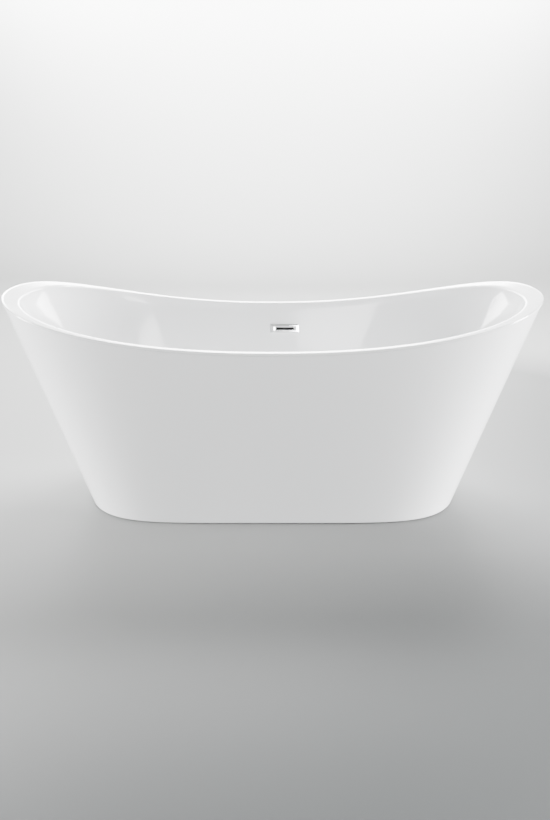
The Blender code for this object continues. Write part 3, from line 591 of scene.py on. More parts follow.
# %% The sheet, its lip and the cut for the overflow
def sheet_rings():
    inside = bathing_side()
    hidden = [[point - slope(inside, i, j) * WALL for j, point in enumerate(row)]
              for i, row in enumerate(inside)]
    hidden[0] = [drain_edge(t, FLOOR - WALL) for t in around]
    rows = list(inside)
    rows += [land_row(1 - k / LAND_STEPS) for k in range(1, LAND_STEPS)]
    quarter = [math.pi / 2 * k / 4 for k in range(5)]
    for a in quarter:
        inset, drop = RIM_SOFT * (1 - math.sin(a)), RIM_SOFT * (1 - math.cos(a))
        rows.append([rim_edge(t, inset, inset, drop) for t in around])
    for a in quarter:
        inset, drop = LIP_SOFT * (1 - math.cos(a)), LIP - LIP_SOFT * (1 - math.sin(a))
        rows.append([rim_edge(t, inset, inset, drop) for t in around])
    rows.append([rim_edge(t, WALL - LIP_SOFT, WALL - LIP_SOFT, LIP) for t in around])
    rows.append([rim_edge(t, WALL, WALL, LIP - LIP_SOFT) for t in around])
    rows.append([rim_edge(t, WALL, WALL, WALL + LIP_SOFT) for t in around])
    rows += [land_row(k / LAND_STEPS, WALL) for k in range(1, LAND_STEPS)]
    return rows + hidden[::-1]


basin = raw_piece("tub_basin", skin(sheet_rings(), joined=True))
print("basin rings", len(basin.data.vertices) // TURNS)

# %% [markdown]
# # Where the overflow sits
# The cover is flat and the wall behind it is curved and leans, so the cover touches along its
# two ends. Its own frame is found the way a fitter would: two marks on the wall at its ends,
# one mark above them, and the plane through the three.

# %% The overflow's own frame
COVER_LENGTH, COVER_HEIGHT, COVER_THICK = 0.111, 0.031, 0.005
OVERFLOW_HEIGHT = RIM_MIDDLE - 0.094
WALL_SLOT = (0.078, 0.016)


def far_wall(x, z):
    """The point of the far wall at x and z."""
    low, high = 0.0, math.pi
    for _ in range(50):
        turn = (low + high) / 2
        foot, head = floor_line(turn, 0.0), wall_top(turn)
        point = foot.lerp(head, (z - foot.z) / (head.z - foot.z))
        low, high = (turn, high) if point.x > x else (low, turn)
    return point


left, right = (far_wall(DRAIN_X + end * COVER_LENGTH / 2, OVERFLOW_HEIGHT) for end in (-1, 1))
seat = left.lerp(right, 0.5)
along = (right - left).normalized()
through = (far_wall(DRAIN_X, OVERFLOW_HEIGHT + COVER_HEIGHT) - seat).cross(along).normalized()
upward = along.cross(through)
SEAT = Matrix.Translation(seat) @ Matrix((along, through, upward)).transposed().to_4x4()
# Flat outlines are drawn looking along the wall's normal, so this turn lays them on the wall.
ON_WALL = SEAT @ Matrix(((1, 0, 0, 0), (0, 0, 1, 0), (0, 1, 0, 0), (0, 0, 0, 1)))
lean = math.degrees(math.asin(-through.z))
print("overflow at", [round(value, 4) for value in seat], "leaning", round(lean, 1))

# %% Cut the slot and settle the basin
slot_half = (WALL_SLOT[0] / 2, WALL_SLOT[1] / 2, WALL_SLOT[1] / 2 - SOFT)
slot_cut = raw_piece("slot_cut", layers([(rectangle(*slot_half), -0.02), (rectangle(*slot_half), 0.02)],
                                        ON_WALL, capped=True))
for cut_object in (basin, slot_cut):
    bpy.context.collection.objects.link(cut_object)
    work = bmesh.new()
    work.from_mesh(cut_object.data)
    bmesh.ops.recalc_face_normals(work, faces=work.faces)
    work.to_mesh(cut_object.data)
    work.free()
cut = basin.modifiers.new("slot", "BOOLEAN")
cut.object, cut.operation, cut.solver = slot_cut, "DIFFERENCE", "EXACT"
cut_mesh = bpy.data.meshes.new_from_object(basin.evaluated_get(bpy.context.evaluated_depsgraph_get()))
basin.modifiers.clear()
basin.data = cut_mesh
bpy.data.objects.remove(slot_cut)
settle(basin, ACRYLIC, nodes=("basin",))

# %% [markdown]
# # The skirt
# The skirt is a second sheet that hangs under the lip and narrows down to the foot, where it
# rolls under into a narrow flange. Its whole form follows the same rule as the rim, so it is
# grown by Geometry Nodes: a flat grid whose one side becomes the turn round the tub and whose
# other side becomes the way down the wall, round the roll and along the flange. The same
# group places the outer face, the inner face and the two edges that close the sheet.

# %% The group that places a point of the skirt
SKIRT_SIZES = {"Half Length": rim_half.x, "Half Width": rim_half.y, "Middle Height": RIM_MIDDLE,
               "End Height": rim_half.z, "Setback": 0.002, "Drop": LIP + 0.0008, "Base Ends": 0.214,
               "Base Sides": 0.105, "Clearance": 0.003, "Roll": 0.006, "Flange": 0.026}


def oval(tree, turn, half_length, half_width, squareness):
    """The x and y of a point on the tub's kind of oval."""
    across = maths(tree, "COSINE", turn)
    power = maths(tree, "POWER", maths(tree, "ABSOLUTE", across), squareness[0])
    left_over = maths(tree, "MAXIMUM", maths(tree, "SUBTRACT", 1.0, power), 0.0)
    reach = maths(tree, "POWER", left_over, 1 / squareness[1])
    side = maths(tree, "SIGN", maths(tree, "SINE", turn))
    y = maths(tree, "MULTIPLY", maths(tree, "MULTIPLY", reach, side), half_width)
    return maths(tree, "MULTIPLY", across, half_length), y


def held(tree, value):
    return spread(tree, value, 0.0, 1.0)


def make_skirt_point():
    takes = {"Turn": (FLOAT, 0.0), "Row": (FLOAT, 0.0), "Inset": (FLOAT, 0.0)}
    takes |= {key: (FLOAT, value) for key, value in SKIRT_SIZES.items()}
    tree, given, wanted = new_group("skirt_point", "GeometryNodeTree", takes, {"Point": VECTOR})
    turn, row, inset = given["Turn"], given["Row"], given["Inset"]

    def plus(a, b):
        return maths(tree, "ADD", a, b)

    def less(a, b):
        return maths(tree, "SUBTRACT", a, b)

    def times(a, b):
        return maths(tree, "MULTIPLY", a, b)

    top_inset = plus(given["Setback"], inset)
    top_x, top_y = oval(tree, turn, less(given["Half Length"], top_inset), less(given["Half Width"], top_inset),
                        RIM_SQUARENESS)
    reach = maths(tree, "ABSOLUTE", maths(tree, "DIVIDE", top_x, given["Half Length"]))
    rise = times(maths(tree, "POWER", reach, SADDLE), less(given["End Height"], given["Middle Height"]))
    top_z = less(plus(given["Middle Height"], rise), given["Drop"])
    radius = less(given["Roll"], inset)
    angle = times(held(tree, less(row, 1.0)), math.pi / 2)
    rolled = times(radius, less(1.0, maths(tree, "COSINE", angle)))
    along_flange = times(held(tree, less(row, 2.0)), less(given["Flange"], given["Roll"]))
    inward = plus(plus(inset, rolled), along_flange)
    base_length = less(less(given["Half Length"], given["Base Ends"]), inward)
    base_width = less(less(given["Half Width"], given["Base Sides"]), inward)
    foot_x, foot_y = oval(tree, turn, base_length, base_width, BASE_SQUARENESS)
    lift = times(radius, less(1.0, maths(tree, "SINE", angle)))
    foot_z = plus(plus(given["Clearance"], inset), lift)
    top = wire(tree, "ShaderNodeCombineXYZ", top_x, top_y, top_z)
    foot = wire(tree, "ShaderNodeCombineXYZ", foot_x, foot_y, foot_z)
    down = wire(tree, "ShaderNodeVectorMath", foot, top, operation="SUBTRACT")
    part = wire(tree, "ShaderNodeVectorMath", down, None, None, held(tree, row), operation="SCALE")
    tree.links.new(wire(tree, "ShaderNodeVectorMath", top, part, operation="ADD"), wanted["Point"])
    return tree


# %% The skirt's tree and the skirt
SKIRT_POINT = make_skirt_point()


def make_skirt_tree():
    takes = {"Segments": (INTEGER, TURNS + 1), "Rows": (INTEGER, 25), "Wall": (FLOAT, 0.005)}
    takes |= {key: (FLOAT, value) for key, value in SKIRT_SIZES.items()} | {"Material": (MATERIAL, None)}
    tree, given, wanted = new_group("skirt", "GeometryNodeTree", takes, {"Geometry": GEOMETRY})

    def face(rows, row_at, inset_at):
        """A grid bent onto the skirt. row_at and inset_at are (start, change) over the grid's height."""
        grid = wire(tree, "GeometryNodeMeshGrid", 1.0, 1.0, given["Segments"], rows)
        place = tree.nodes.new("ShaderNodeSeparateXYZ")
        tree.links.new(wire(tree, "GeometryNodeInputPosition"), place.inputs[0])
        turn = maths(tree, "MULTIPLY", maths(tree, "ADD", place.outputs[0], 0.5), 2 * math.pi)
        up = maths(tree, "ADD", place.outputs[1], 0.5)
        point = tree.nodes.new("GeometryNodeGroup")
        point.node_tree = SKIRT_POINT
        for key in SKIRT_SIZES:
            tree.links.new(given[key], point.inputs[key])
        tree.links.new(turn, point.inputs["Turn"])
        tree.links.new(maths(tree, "MULTIPLY_ADD", up, row_at[1], row_at[0]), point.inputs["Row"])
        start, change = inset_at
        inset = maths(tree, "MULTIPLY", given["Wall"], maths(tree, "MULTIPLY_ADD", up, change, start))
        tree.links.new(inset, point.inputs["Inset"])
        return wire(tree, "GeometryNodeSetPosition", grid, None, point.outputs[0])

    faces = (face(given["Rows"], (0.0, 3.0), (0.0, 0.0)), face(given["Rows"], (0.0, 3.0), (1.0, 0.0)),
             face(2, (0.0, 0.0), (0.0, 1.0)), face(2, (3.0, 0.0), (0.0, 1.0)))
    closed = wire(tree, "GeometryNodeMergeByDistance", together(tree, *faces), None, 0.00002)
    return end_tree(tree, wanted, given["Material"], closed)


skirt_sizes = {key.replace(" ", "_"): value for key, value in SKIRT_SIZES.items()}
skirt = grow("tub_skirt", make_skirt_tree(), ACRYLIC, **skirt_sizes)
settle(skirt, ACRYLIC, nodes=("outer_skirt",))

# %% [markdown]
# # The overflow
# A polished brass plate, chromed, covers the slot in the wall. Behind the wall a rubber gasket
# and a moulded box catch the water and lead it to the hose. The plate and the gasket are rings
# between an outer rectangle and a slot with round ends, which have the same number of points.

# %% Cover, gasket and box
SLOT = (0.071, 0.0094)
COVER_SOFT, SLOT_SOFT, COVER_CORNER = 0.0009, 0.0005, 0.0012
BOX_HEIGHT, BOX_DEPTH, BOX_WALL, SEAL = 0.030, 0.0175, 0.002, 0.002
SPIGOT, SPIGOT_WALL, SPIGOT_REACH = 0.0071, 0.0015, 0.018


def framed(outer, hole, near, far, soft, hole_soft, axis=ON_WALL):
    """A plate round a hole, with the edges at its near face rounded."""
    (half_x, half_y, corner), (hole_x, hole_y, hole_corner) = outer, hole
    outlines = [(rectangle(hole_x, hole_y, hole_corner), far)]
    for k in range(5):
        bend = math.pi / 8 * k
        out, down = hole_soft * (1 - math.cos(bend)), hole_soft * (1 - math.sin(bend))
        outlines.append((rectangle(hole_x + out, hole_y + out, hole_corner + out), near + down))
    for k in range(5):
        bend = math.pi / 8 * k
        inset, down = soft * (1 - math.sin(bend)), soft * (1 - math.cos(bend))
        outlines.append((rectangle(half_x - inset, half_y - inset, max(corner - inset, SOFT)), near + down))
    outlines.append((rectangle(half_x, half_y, corner), far))
    return layers(outlines, axis, joined=True)


cover_half = (COVER_LENGTH / 2, COVER_HEIGHT / 2, COVER_CORNER)
slot_in_cover = (SLOT[0] / 2, SLOT[1] / 2, SLOT[1] / 2 - SOFT / 4)
make("overflow_plate", [framed(cover_half, slot_in_cover, -GAP - COVER_THICK, -GAP, COVER_SOFT, SLOT_SOFT)],
     CHROME, nodes=("overflow_cover",))
seal_near = WALL + GAP
slot_in_seal = (WALL_SLOT[0] / 2, WALL_SLOT[1] / 2, WALL_SLOT[1] / 2 - SOFT)
box_half = (COVER_LENGTH / 2, BOX_HEIGHT / 2, 0.003)
make("overflow_seal", [framed(box_half, slot_in_seal, seal_near, seal_near + SEAL, SOFT, SOFT)],
     RUBBER, nodes=("overflow_gasket",))
box_near = seal_near + SEAL + GAP
box_far = box_near + BOX_DEPTH
cavity = (WALL_SLOT[0] / 2, BOX_HEIGHT / 2 - BOX_WALL, 0.002)
box_shell = layers([(rectangle(box_half[0] - SOFT, box_half[1] - SOFT, box_half[2]), box_far),
                    (rectangle(*box_half), box_far - SOFT), (rectangle(*box_half), box_near),
                    (rectangle(*cavity), box_near), (rectangle(*cavity), box_far - BOX_WALL)],
                   ON_WALL, capped=True)
outlet = SEAT @ Matrix.Translation((0, box_far - SPIGOT, 0))
outlet_foot = -BOX_HEIGHT / 2 - SPIGOT_REACH
outlet_pipe = turned(tube(SPIGOT - SPIGOT_WALL, SPIGOT, outlet_foot, -BOX_HEIGHT / 2 + BOX_WALL / 2), outlet,
                     hollow=True, count=36)
# The box is near black as painted shade, so the cover's slot looks dark.
make("overflow_box", [box_shell, outlet_pipe], SLOT_SHADE_PLASTIC, nodes=("overflow_housing",))

# %% [markdown]
# # The drain
# Under the bathing floor the waste is a chromed brass flange that clamps the acrylic against a
# rubber washer, with a cross in its bore that carries a sleeve and a spring. Everything but the
# cross is turned, so each is a profile of radii and heights, given from the bathing surface up.

# %% Flange, cross and sleeve
DRAIN = Matrix.Translation((DRAIN_X, 0, FLOOR))
BORE, TAIL_WALL, TAIL, LIP_REACH, FLANGE_THICK = 0.0175, 0.0025, 0.045, 0.0155, 0.003
LIP_EDGE, LIP_CROWN, MOUTH, MOUTH_DIP = 0.0012, 0.8, 0.002, 0.0004
BAR, BAR_TALL, BAR_TOP = 0.004, 0.008, -0.019
STEM, CLIP, SLEEVE_WALL = 0.0026, 0.0046, 0.001
TAIL_OUT = BORE + TAIL_WALL
FLANGE_TOP = GAP + FLANGE_THICK
flange_profile = [(BORE, -TAIL), (TAIL_OUT, -TAIL), (TAIL_OUT, GAP), (TAIL_OUT + LIP_REACH, GAP),
                  (TAIL_OUT + LIP_REACH, GAP + LIP_EDGE), (TAIL_OUT + LIP_REACH * LIP_CROWN, FLANGE_TOP),
                  (BORE + MOUTH, FLANGE_TOP - MOUTH_DIP), (BORE, FLANGE_TOP - LIP_EDGE)]
bar_middle = DRAIN @ Matrix.Translation((0, 0, BAR_TOP - BAR_TALL / 2))
sleeve_in = CLIP + SLEEVE_WALL / 2
bars = [plate(BORE + TAIL_WALL / 2, BAR / 2, SOFT, -BAR_TALL / 2, BAR_TALL / 2, SOFT,
              bar_middle @ Matrix.Rotation(turn, 4, "Z")) for turn in (0, math.pi / 2)]
hub = turned(tube(STEM + RUNNING, sleeve_in + SLEEVE_WALL, -BAR_TALL / 2, BAR_TALL / 2), bar_middle,
             hollow=True, count=36)
flange = turned(flange_profile, DRAIN, hollow=True, count=120)
make("drain_flange_polished", [flange, hub] + bars, CHROME, nodes=("drain_flange",))
sleeve = turned(tube(sleeve_in, sleeve_in + SLEEVE_WALL, BAR_TOP + GAP, FLANGE_TOP), DRAIN, hollow=True,
                soft=FINE, count=48)
make("sleeve", [sleeve], BRASS, nodes=("stopper_sleeve",))

# %% Washer, tee, tailpiece and slip nut
TEE_WALL, TEE_TALL, COLLAR, COLLAR_TALL, WASHER = 0.004, 0.085, 0.008, 0.0055, 0.003
BRANCH_DROP, BRANCH_REACH = 0.0604, 0.062
# A raised band over the thread: its swell, then the heights where it starts, is full and ends.
BAND_SWELL, BAND_HEIGHTS = 0.0015, (0.012, 0.014, 0.018, 0.020)
washer_top = -WALL - GAP
TEE_BORE = TAIL_OUT + RUNNING
TEE_OUT = TEE_BORE + TEE_WALL
tee_top = washer_top - WASHER - GAP
tee_foot = tee_top - TEE_TALL
washer = turned(tube(TEE_BORE, TEE_OUT + COLLAR, washer_top - WASHER, washer_top), DRAIN, hollow=True)
make("drain_washer", [washer], RUBBER, nodes=("drain_gasket",))
tee_profile = [(TEE_BORE, tee_foot), (TEE_OUT, tee_foot)]
tee_profile += [(TEE_OUT + swell, tee_foot + height)
                for swell, height in zip((0.0, BAND_SWELL, BAND_SWELL, 0.0), BAND_HEIGHTS)]
tee_profile += [(TEE_OUT, tee_top - COLLAR_TALL), (TEE_OUT + COLLAR, tee_top - COLLAR_TALL),
                (TEE_OUT + COLLAR, tee_top), (TEE_BORE, tee_top)]
branch_height = tee_top - BRANCH_DROP
sideways = DRAIN @ Matrix.Translation((0, 0, branch_height)) @ Matrix.Rotation(-math.pi / 2, 4, "X")
root_in, root_out = TEE_BORE + TEE_WALL / 2, SPIGOT + TEE_WALL
branch = turned([(SPIGOT - SPIGOT_WALL, root_in), (root_out, root_in), (root_out, TEE_OUT + 0.003),
                 (SPIGOT, TEE_OUT + 0.007), (SPIGOT, BRANCH_REACH), (SPIGOT - SPIGOT_WALL, BRANCH_REACH)],
                sideways, hollow=True, count=40)
make("tee", [turned(tee_profile, DRAIN, hollow=True, soft=0.0008), branch], WASTE_PLASTIC,
     nodes=("waste_tee",))
PIPE_WALL, PIPE_CLEARANCE, PIPE_LAP = 0.0015, 0.014, 0.015
pipe_foot, pipe_out = PIPE_CLEARANCE - FLOOR, BORE + PIPE_WALL
pipe = turned(tube(BORE, pipe_out, pipe_foot, tee_foot + PIPE_LAP), DRAIN, hollow=True)
make("tail_pipe", [pipe], BRASS, nodes=("tailpiece",))

# %% [markdown]
# # Ribs for a grip
# The nut that squeezes the tailpiece's seal is tightened by hand, so it has ribs. A ring of
# points with one small block on each is the kind of repeat that Geometry Nodes do best: the
# count and the sizes are inputs, and the blocks turn to face outwards by themselves.

# %% The tree for a ring of ribs, and the slip nut
def make_ribs_tree():
    takes = {"Geometry": (GEOMETRY, None), "Place": (VECTOR, (0.0, 0.0, 0.0)),
             "Turn": (VECTOR, (0.0, 0.0, 0.0)), "Count": (INTEGER, 24), "Radius": (FLOAT, 0.03),
             "Rib": (VECTOR, (0.002, 0.002, 0.01)), "Material": (MATERIAL, None)}
    tree, given, wanted = new_group("ribs", "GeometryNodeTree", takes, {"Geometry": GEOMETRY})
    ring = wire(tree, "GeometryNodeMeshCircle", given["Count"], given["Radius"])
    rib = wire(tree, "GeometryNodeMeshCube", given["Rib"])
    outward = wire(tree, "GeometryNodeInputPosition")
    facing = wire(tree, "FunctionNodeAlignRotationToVector", None, None, outward, axis="X")
    ribs = wire(tree, "GeometryNodeInstanceOnPoints", ring, None, rib, into={"Rotation": facing})
    turn = wire(tree, "FunctionNodeEulerToRotation", given["Turn"])
    placed = moved(tree, wire(tree, "GeometryNodeRealizeInstances", ribs), given["Place"], turn)
    return end_tree(tree, wanted, given["Material"], together(tree, given["Geometry"], placed))


RIBS = make_ribs_tree()
GRIP_FLOOR, GRIP_WALL, GRIP_TALL, GRIP_RIBS, GRIP_RIB = 0.006, 0.0035, 0.020, 36, (0.0018, 0.0018, 0.015)
nut_low, nut_bore = tee_foot - GAP - GRIP_FLOOR, TEE_OUT + GAP
nut_out, nut_high = nut_bore + GRIP_WALL, nut_low + GRIP_TALL
nut_profile = [(pipe_out + GAP, nut_low), (nut_out, nut_low), (nut_out, nut_high), (nut_bore, nut_high),
               (nut_bore, tee_foot - GAP), (pipe_out + GAP, tee_foot - GAP)]
nut = raw_piece("grip_nut", turned(nut_profile, DRAIN, hollow=True, soft=0.0008))
nut = grow("grip_nut", RIBS, WASTE_PLASTIC, nut, Count=GRIP_RIBS, Radius=nut_out, Rib=GRIP_RIB,
           Place=(DRAIN_X, 0.0, FLOOR + (nut_low + nut_high) / 2))
settle(nut, WASTE_PLASTIC, nodes=("slip_nut",))

# %% [markdown]
# # The stopper
# The cap is pressed down to close the drain and pressed again to open it. It is a domed,
# chromed disc with a rubber seal under it and a stem that slides in the sleeve, and a fine
# coil spring lifts it. The cap, seal and stem move together. The spring stays where it stands
# and shortens.

# %% Cap, seal and stem
CAP, CAP_THICK, CAP_BEVEL, CAP_DOME, CAP_FOOT = 0.030, 0.004, 0.0012, 0.0015, 0.004
TRAVEL, SEAL_THICK, SEAL_IN, SEAL_OUT, CLIP_TALL = 0.008, 0.002, 0.020, 0.027, 0.003
cap_low = FLANGE_TOP + GAP + SEAL_THICK + GAP + TRAVEL
cap_high = cap_low + CAP_THICK
cap_profile = [(CAP_FOOT, cap_low), (CAP - CAP_BEVEL, cap_low), (CAP, cap_low + CAP_BEVEL),
               (CAP, cap_high - CAP_BEVEL), (CAP - CAP_BEVEL, cap_high)]
cap_profile += [(CAP * share, cap_high + CAP_DOME * (1 - share ** 2)) for share in (0.8, 0.6, 0.4, 0.2, 0.05)]
cap = turned(cap_profile, DRAIN, soft=0.0009, count=120)
make("cap", [cap], CHROME, "stopper", ("stopper_cap",))
seal_low = cap_low - GAP - SEAL_THICK
cap_seal = turned(tube(SEAL_IN, SEAL_OUT, seal_low, cap_low - GAP), DRAIN, hollow=True)
make("cap_seal", [cap_seal], RUBBER, "stopper", ("stopper_seal",))
clip_high = BAR_TOP - BAR_TALL - GAP
stem_profile = [(CLIP, clip_high - CLIP_TALL), (CLIP, clip_high), (STEM, clip_high), (STEM, cap_low - GAP)]
make("cap_stem", [turned(stem_profile, DRAIN, soft=0.0003, count=36)], BRASS, "stopper",
     ("stopper_stem",))

# %% [markdown]
# # Coils and threads
# A coil spring is wire along a rising circle, and a screw thread is a ridge along the same kind
# of path, only much closer and sunk in a rod. One tree serves both: a spiral, a small profile
# swept along it, and its place.

# %% The tree for a coil
def make_coil_tree():
    takes = {"Geometry": (GEOMETRY, None), "Place": (VECTOR, (0.0, 0.0, 0.0)), "Radius": (FLOAT, 0.005),
             "Turns": (FLOAT, 5.0), "Height": (FLOAT, 0.03), "Wire": (FLOAT, 0.0005), "Steps": (INTEGER, 24),
             "Corners": (INTEGER, 10), "Material": (MATERIAL, None)}
    tree, given, wanted = new_group("coil", "GeometryNodeTree", takes, {"Geometry": GEOMETRY})
    path = wire(tree, "GeometryNodeCurveSpiral", given["Steps"], given["Turns"], given["Radius"],
                given["Radius"], given["Height"])
    level = tree.nodes.new("GeometryNodeSetCurveNormal")
    level.mode = "Z_UP"
    tree.links.new(path, level.inputs[0])
    profile = wire(tree, "GeometryNodeCurvePrimitiveCircle", given["Corners"], into={"Radius": given["Wire"]})
    swept = wire(tree, "GeometryNodeCurveToMesh", level.outputs[0], profile, into={"Fill Caps": True})
    placed = moved(tree, swept, given["Place"])
    return end_tree(tree, wanted, given["Material"], together(tree, given["Geometry"], placed))


COIL = make_coil_tree()
WIRE, SPRING_TURNS = 0.0005, 5.0
spring_low, spring_high = BAR_TOP + GAP + WIRE, cap_low - GAP - WIRE
spring = grow("lift_spring", COIL, SPRING_STEEL, Place=(DRAIN_X, 0.0, FLOOR + spring_low),
              Turns=SPRING_TURNS, Radius=(STEM + CLIP + WIRE) / 2, Height=spring_high - spring_low, Wire=WIRE)
settle(spring, SPRING_STEEL, nodes=("stopper_spring",))
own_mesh(spring)

# %% [markdown]
# # Levelling feet
# Each foot is a threaded stud through a nut on a welded bracket. Its lower end turns freely in
# a moulded pad, and a hexagon near the pad takes a spanner. Turning it by one pitch of the
# thread raises that corner by the same amount. The studs, the pads and the fixed pieces ride
# on different bodies, so each foot gives one piece of each.

# %% Nuts, brackets, studs and pads
STUD, PITCH, RIDGE = 0.0058, 0.00175, 0.0006
SHANK_TOP, CORE_FROM, THREAD_FROM, THREAD_END = 0.0265, 0.0275, 0.029, 0.0025
SPANNER = (0.017, 0.018, 0.026)
NUT_FLATS, NUT_TALL, TAB_CORNER = 0.019, 0.010, 0.004
PAD_PROFILE = [(STUD + RUNNING, 0.005), (STUD + RUNNING, 0.012), (0.011, 0.012), (0.0125, 0.0112),
               (0.022, 0.0054), (0.022, 0.0013), (0.0207, 0.0)]
PAD_RIBS, PAD_RIB_PLACE, PAD_RIB, PAD_SOFT = 20, 0.0165, (0.006, 0.0012, 0.0058), 0.0006
rail_low, _ = (corner.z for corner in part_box("frame_rail_front"))
bracket_top = rail_low - GAP


def hexagon(flats, corner=0.0006, steps=6):
    """A hexagon with softened corners and as many points as a rectangle of round corners."""
    corners = [Vector((math.cos(k * math.pi / 3), math.sin(k * math.pi / 3))) * flats / math.sqrt(3)
               for k in range(6)]
    return softened(corners, corner, steps=steps)


def hex_block(flats, low, high, bore, axis):
    """A hexagon nut or collar with chamfered ends."""
    outer, chamfer = hexagon(flats), flats * 0.06
    inner = hole_towards(outer, bore)
    round_end = [point * min(1.0, flats * 0.49 / point.length) for point in outer]
    return layers([(inner, low), (round_end, low), (outer, low + chamfer), (outer, high - chamfer),
                   (round_end, high), (inner, high)], axis, joined=True)


def foot_axis(name):
    low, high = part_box(f"foot_pad_{name}")
    middle = (low + high) / 2
    return Vector((middle.x, middle.y, 0.0))


def make_bracket(name, place, axis):
    low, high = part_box(f"foot_bracket_{name}")
    middle = ((low.x + high.x) / 2 - place.x, (low.y + high.y) / 2 - place.y)
    half_x, half_y = (high.x - low.x) / 2, (high.y - low.y) / 2
    outer = rectangle(half_x, half_y, TAB_CORNER, middle)
    shy = rectangle(half_x - SOFT, half_y - SOFT, TAB_CORNER - SOFT, middle)
    bore = hole_towards(outer, STUD + RUNNING)
    tab = layers([(bore, low.z), (shy, low.z), (outer, low.z + SOFT), (outer, high.z - SOFT), (shy, high.z),
                  (bore, high.z)], axis, joined=True)
    make(f"bracket_{name}", [tab], FRAME_PAINT, nodes=(f"foot_bracket_{name}",))


def make_stud(name, place, axis):
    low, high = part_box(f"foot_stud_{name}")
    core = turned([(STUD - RIDGE * 2, low.z), (STUD, low.z + RIDGE * 2), (STUD, SHANK_TOP),
                   (STUD - RIDGE, CORE_FROM), (STUD - RIDGE, high.z - 0.001),
                   (STUD - RIDGE * 2.5, high.z)], axis, soft=FINE, count=32)
    blank = raw_piece(f"stud_{name}_turned", core, hex_block(*SPANNER, STUD - RIDGE, axis))
    length = high.z - THREAD_END - THREAD_FROM
    stud = grow(f"stud_{name}_turned", COIL, ZINC, blank, Place=(place.x, place.y, THREAD_FROM),
                Turns=length / PITCH, Radius=STUD - RIDGE, Height=length, Wire=RIDGE, Steps=14, Corners=4)
    settle(stud, ZINC, f"stud_{name}", (f"foot_stud_{name}",))


def make_foot(name):
    place = foot_axis(name)
    axis = Matrix.Translation(place)
    nut_foot = bracket_top + GAP
    weld_nut = hex_block(NUT_FLATS, nut_foot, nut_foot + NUT_TALL, STUD + RUNNING, axis)
    make(f"nut_{name}", [weld_nut], ZINC, nodes=(f"foot_nut_{name}",))
    make_bracket(name, place, axis)
    make_stud(name, place, axis)
    blank = raw_piece(f"pad_{name}_moulded", turned(PAD_PROFILE, axis, soft=PAD_SOFT))
    grips = grow(f"pad_{name}_moulded", RIBS, PAD_PLASTIC, blank, Count=PAD_RIBS, Radius=PAD_RIB_PLACE,
                 Place=(place.x, place.y, PAD_RIB[2]), Rib=PAD_RIB)
    settle(grips, PAD_PLASTIC, f"pad_{name}", (f"foot_pad_{name}",))


for foot in FEET:
    make_foot(foot)

# %% [markdown]
# # The frame
# The frame is welded from square tube, which has round outer corners because it is rolled from
# strip. Two rails run the length of the board and four cross members join them. The plywood
# board lies on top and spreads the load under the floor of the basin.

# %% Rails, cross members and board
TUBE_HALF, TUBE_WALL, TUBE_CORNER = 0.0125, 0.002, 0.003
ALONG_X = Matrix.Rotation(math.pi / 2, 4, "Y")
ALONG_Y = Matrix.Rotation(-math.pi / 2, 4, "X")


def square_tube(node, along):
    low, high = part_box(node)
    half = ((high - low) / 2)[0 if along is ALONG_X else 1]
    inside = TUBE_HALF - TUBE_WALL
    outer, inner = rectangle(TUBE_HALF, TUBE_HALF, TUBE_CORNER), rectangle(inside, inside, TUBE_CORNER / 3)
    shape = layers([(outer, -half), (outer, half), (inner, half), (inner, -half)],
                   Matrix.Translation((low + high) / 2) @ along, joined=True)
    make(f"{node}_rolled", [shape], FRAME_PAINT, nodes=(node,))


for node in ("frame_rail_front", "frame_rail_back"):
    square_tube(node, ALONG_X)
for number in range(1, 5):
    square_tube(f"cross_member_{number}", ALONG_Y)

board_middle = (board_low + board_high) / 2
board_half = (board_high - board_low) / 2
from_drain = (board_middle.x - DRAIN_X, board_middle.y)
BOARD_CORNER, BOARD_SOFT, BOARD_HOLE = 0.004, 0.0008, 0.042
board_edge = rectangle(board_half.x, board_half.y, BOARD_CORNER, from_drain)
board_shy = rectangle(board_half.x - BOARD_SOFT, board_half.y - BOARD_SOFT, BOARD_CORNER - BOARD_SOFT,
                      from_drain)
board_hole = hole_towards(board_edge, BOARD_HOLE)
board = layers([(board_hole, board_low.z), (board_shy, board_low.z), (board_edge, board_low.z + BOARD_SOFT),
                (board_edge, board_high.z - BOARD_SOFT), (board_shy, board_high.z), (board_hole, board_high.z)],
               Matrix.Translation((DRAIN_X, 0, 0)), joined=True)
make("deck_board", [board], PLYWOOD, nodes=("floor_board",))

# %% [markdown]
# # Welds
# A weld is a row of small overlapping pools. The corners where the cross members meet the rails
# are drawn as lines, the lines are cut into even steps, and a flattened ball on each step makes
# the ripple. The ball has few faces, because there are hundreds of them.

# %% The tree for weld beads, and the welds
def make_beads_tree():
    takes = {"Geometry": (GEOMETRY, None), "Step": (FLOAT, 0.0022), "Bead": (FLOAT, 0.0018),
             "Material": (MATERIAL, None)}
    tree, given, wanted = new_group("weld_beads", "GeometryNodeTree", takes, {"Geometry": GEOMETRY})
    lines = wire(tree, "GeometryNodeMeshToCurve", given["Geometry"])
    cut_up = tree.nodes.new("GeometryNodeResampleCurve")
    cut_up.mode = "LENGTH"
    tree.links.new(lines, cut_up.inputs["Curve"])
    tree.links.new(given["Step"], cut_up.inputs["Length"])
    ball = wire(tree, "GeometryNodeMeshIcoSphere", given["Bead"], 2)
    beads = wire(tree, "GeometryNodeInstanceOnPoints", cut_up.outputs[0], None, ball,
                 into={"Scale": (1.0, 1.0, 0.8)})
    return end_tree(tree, wanted, given["Material"], beads)


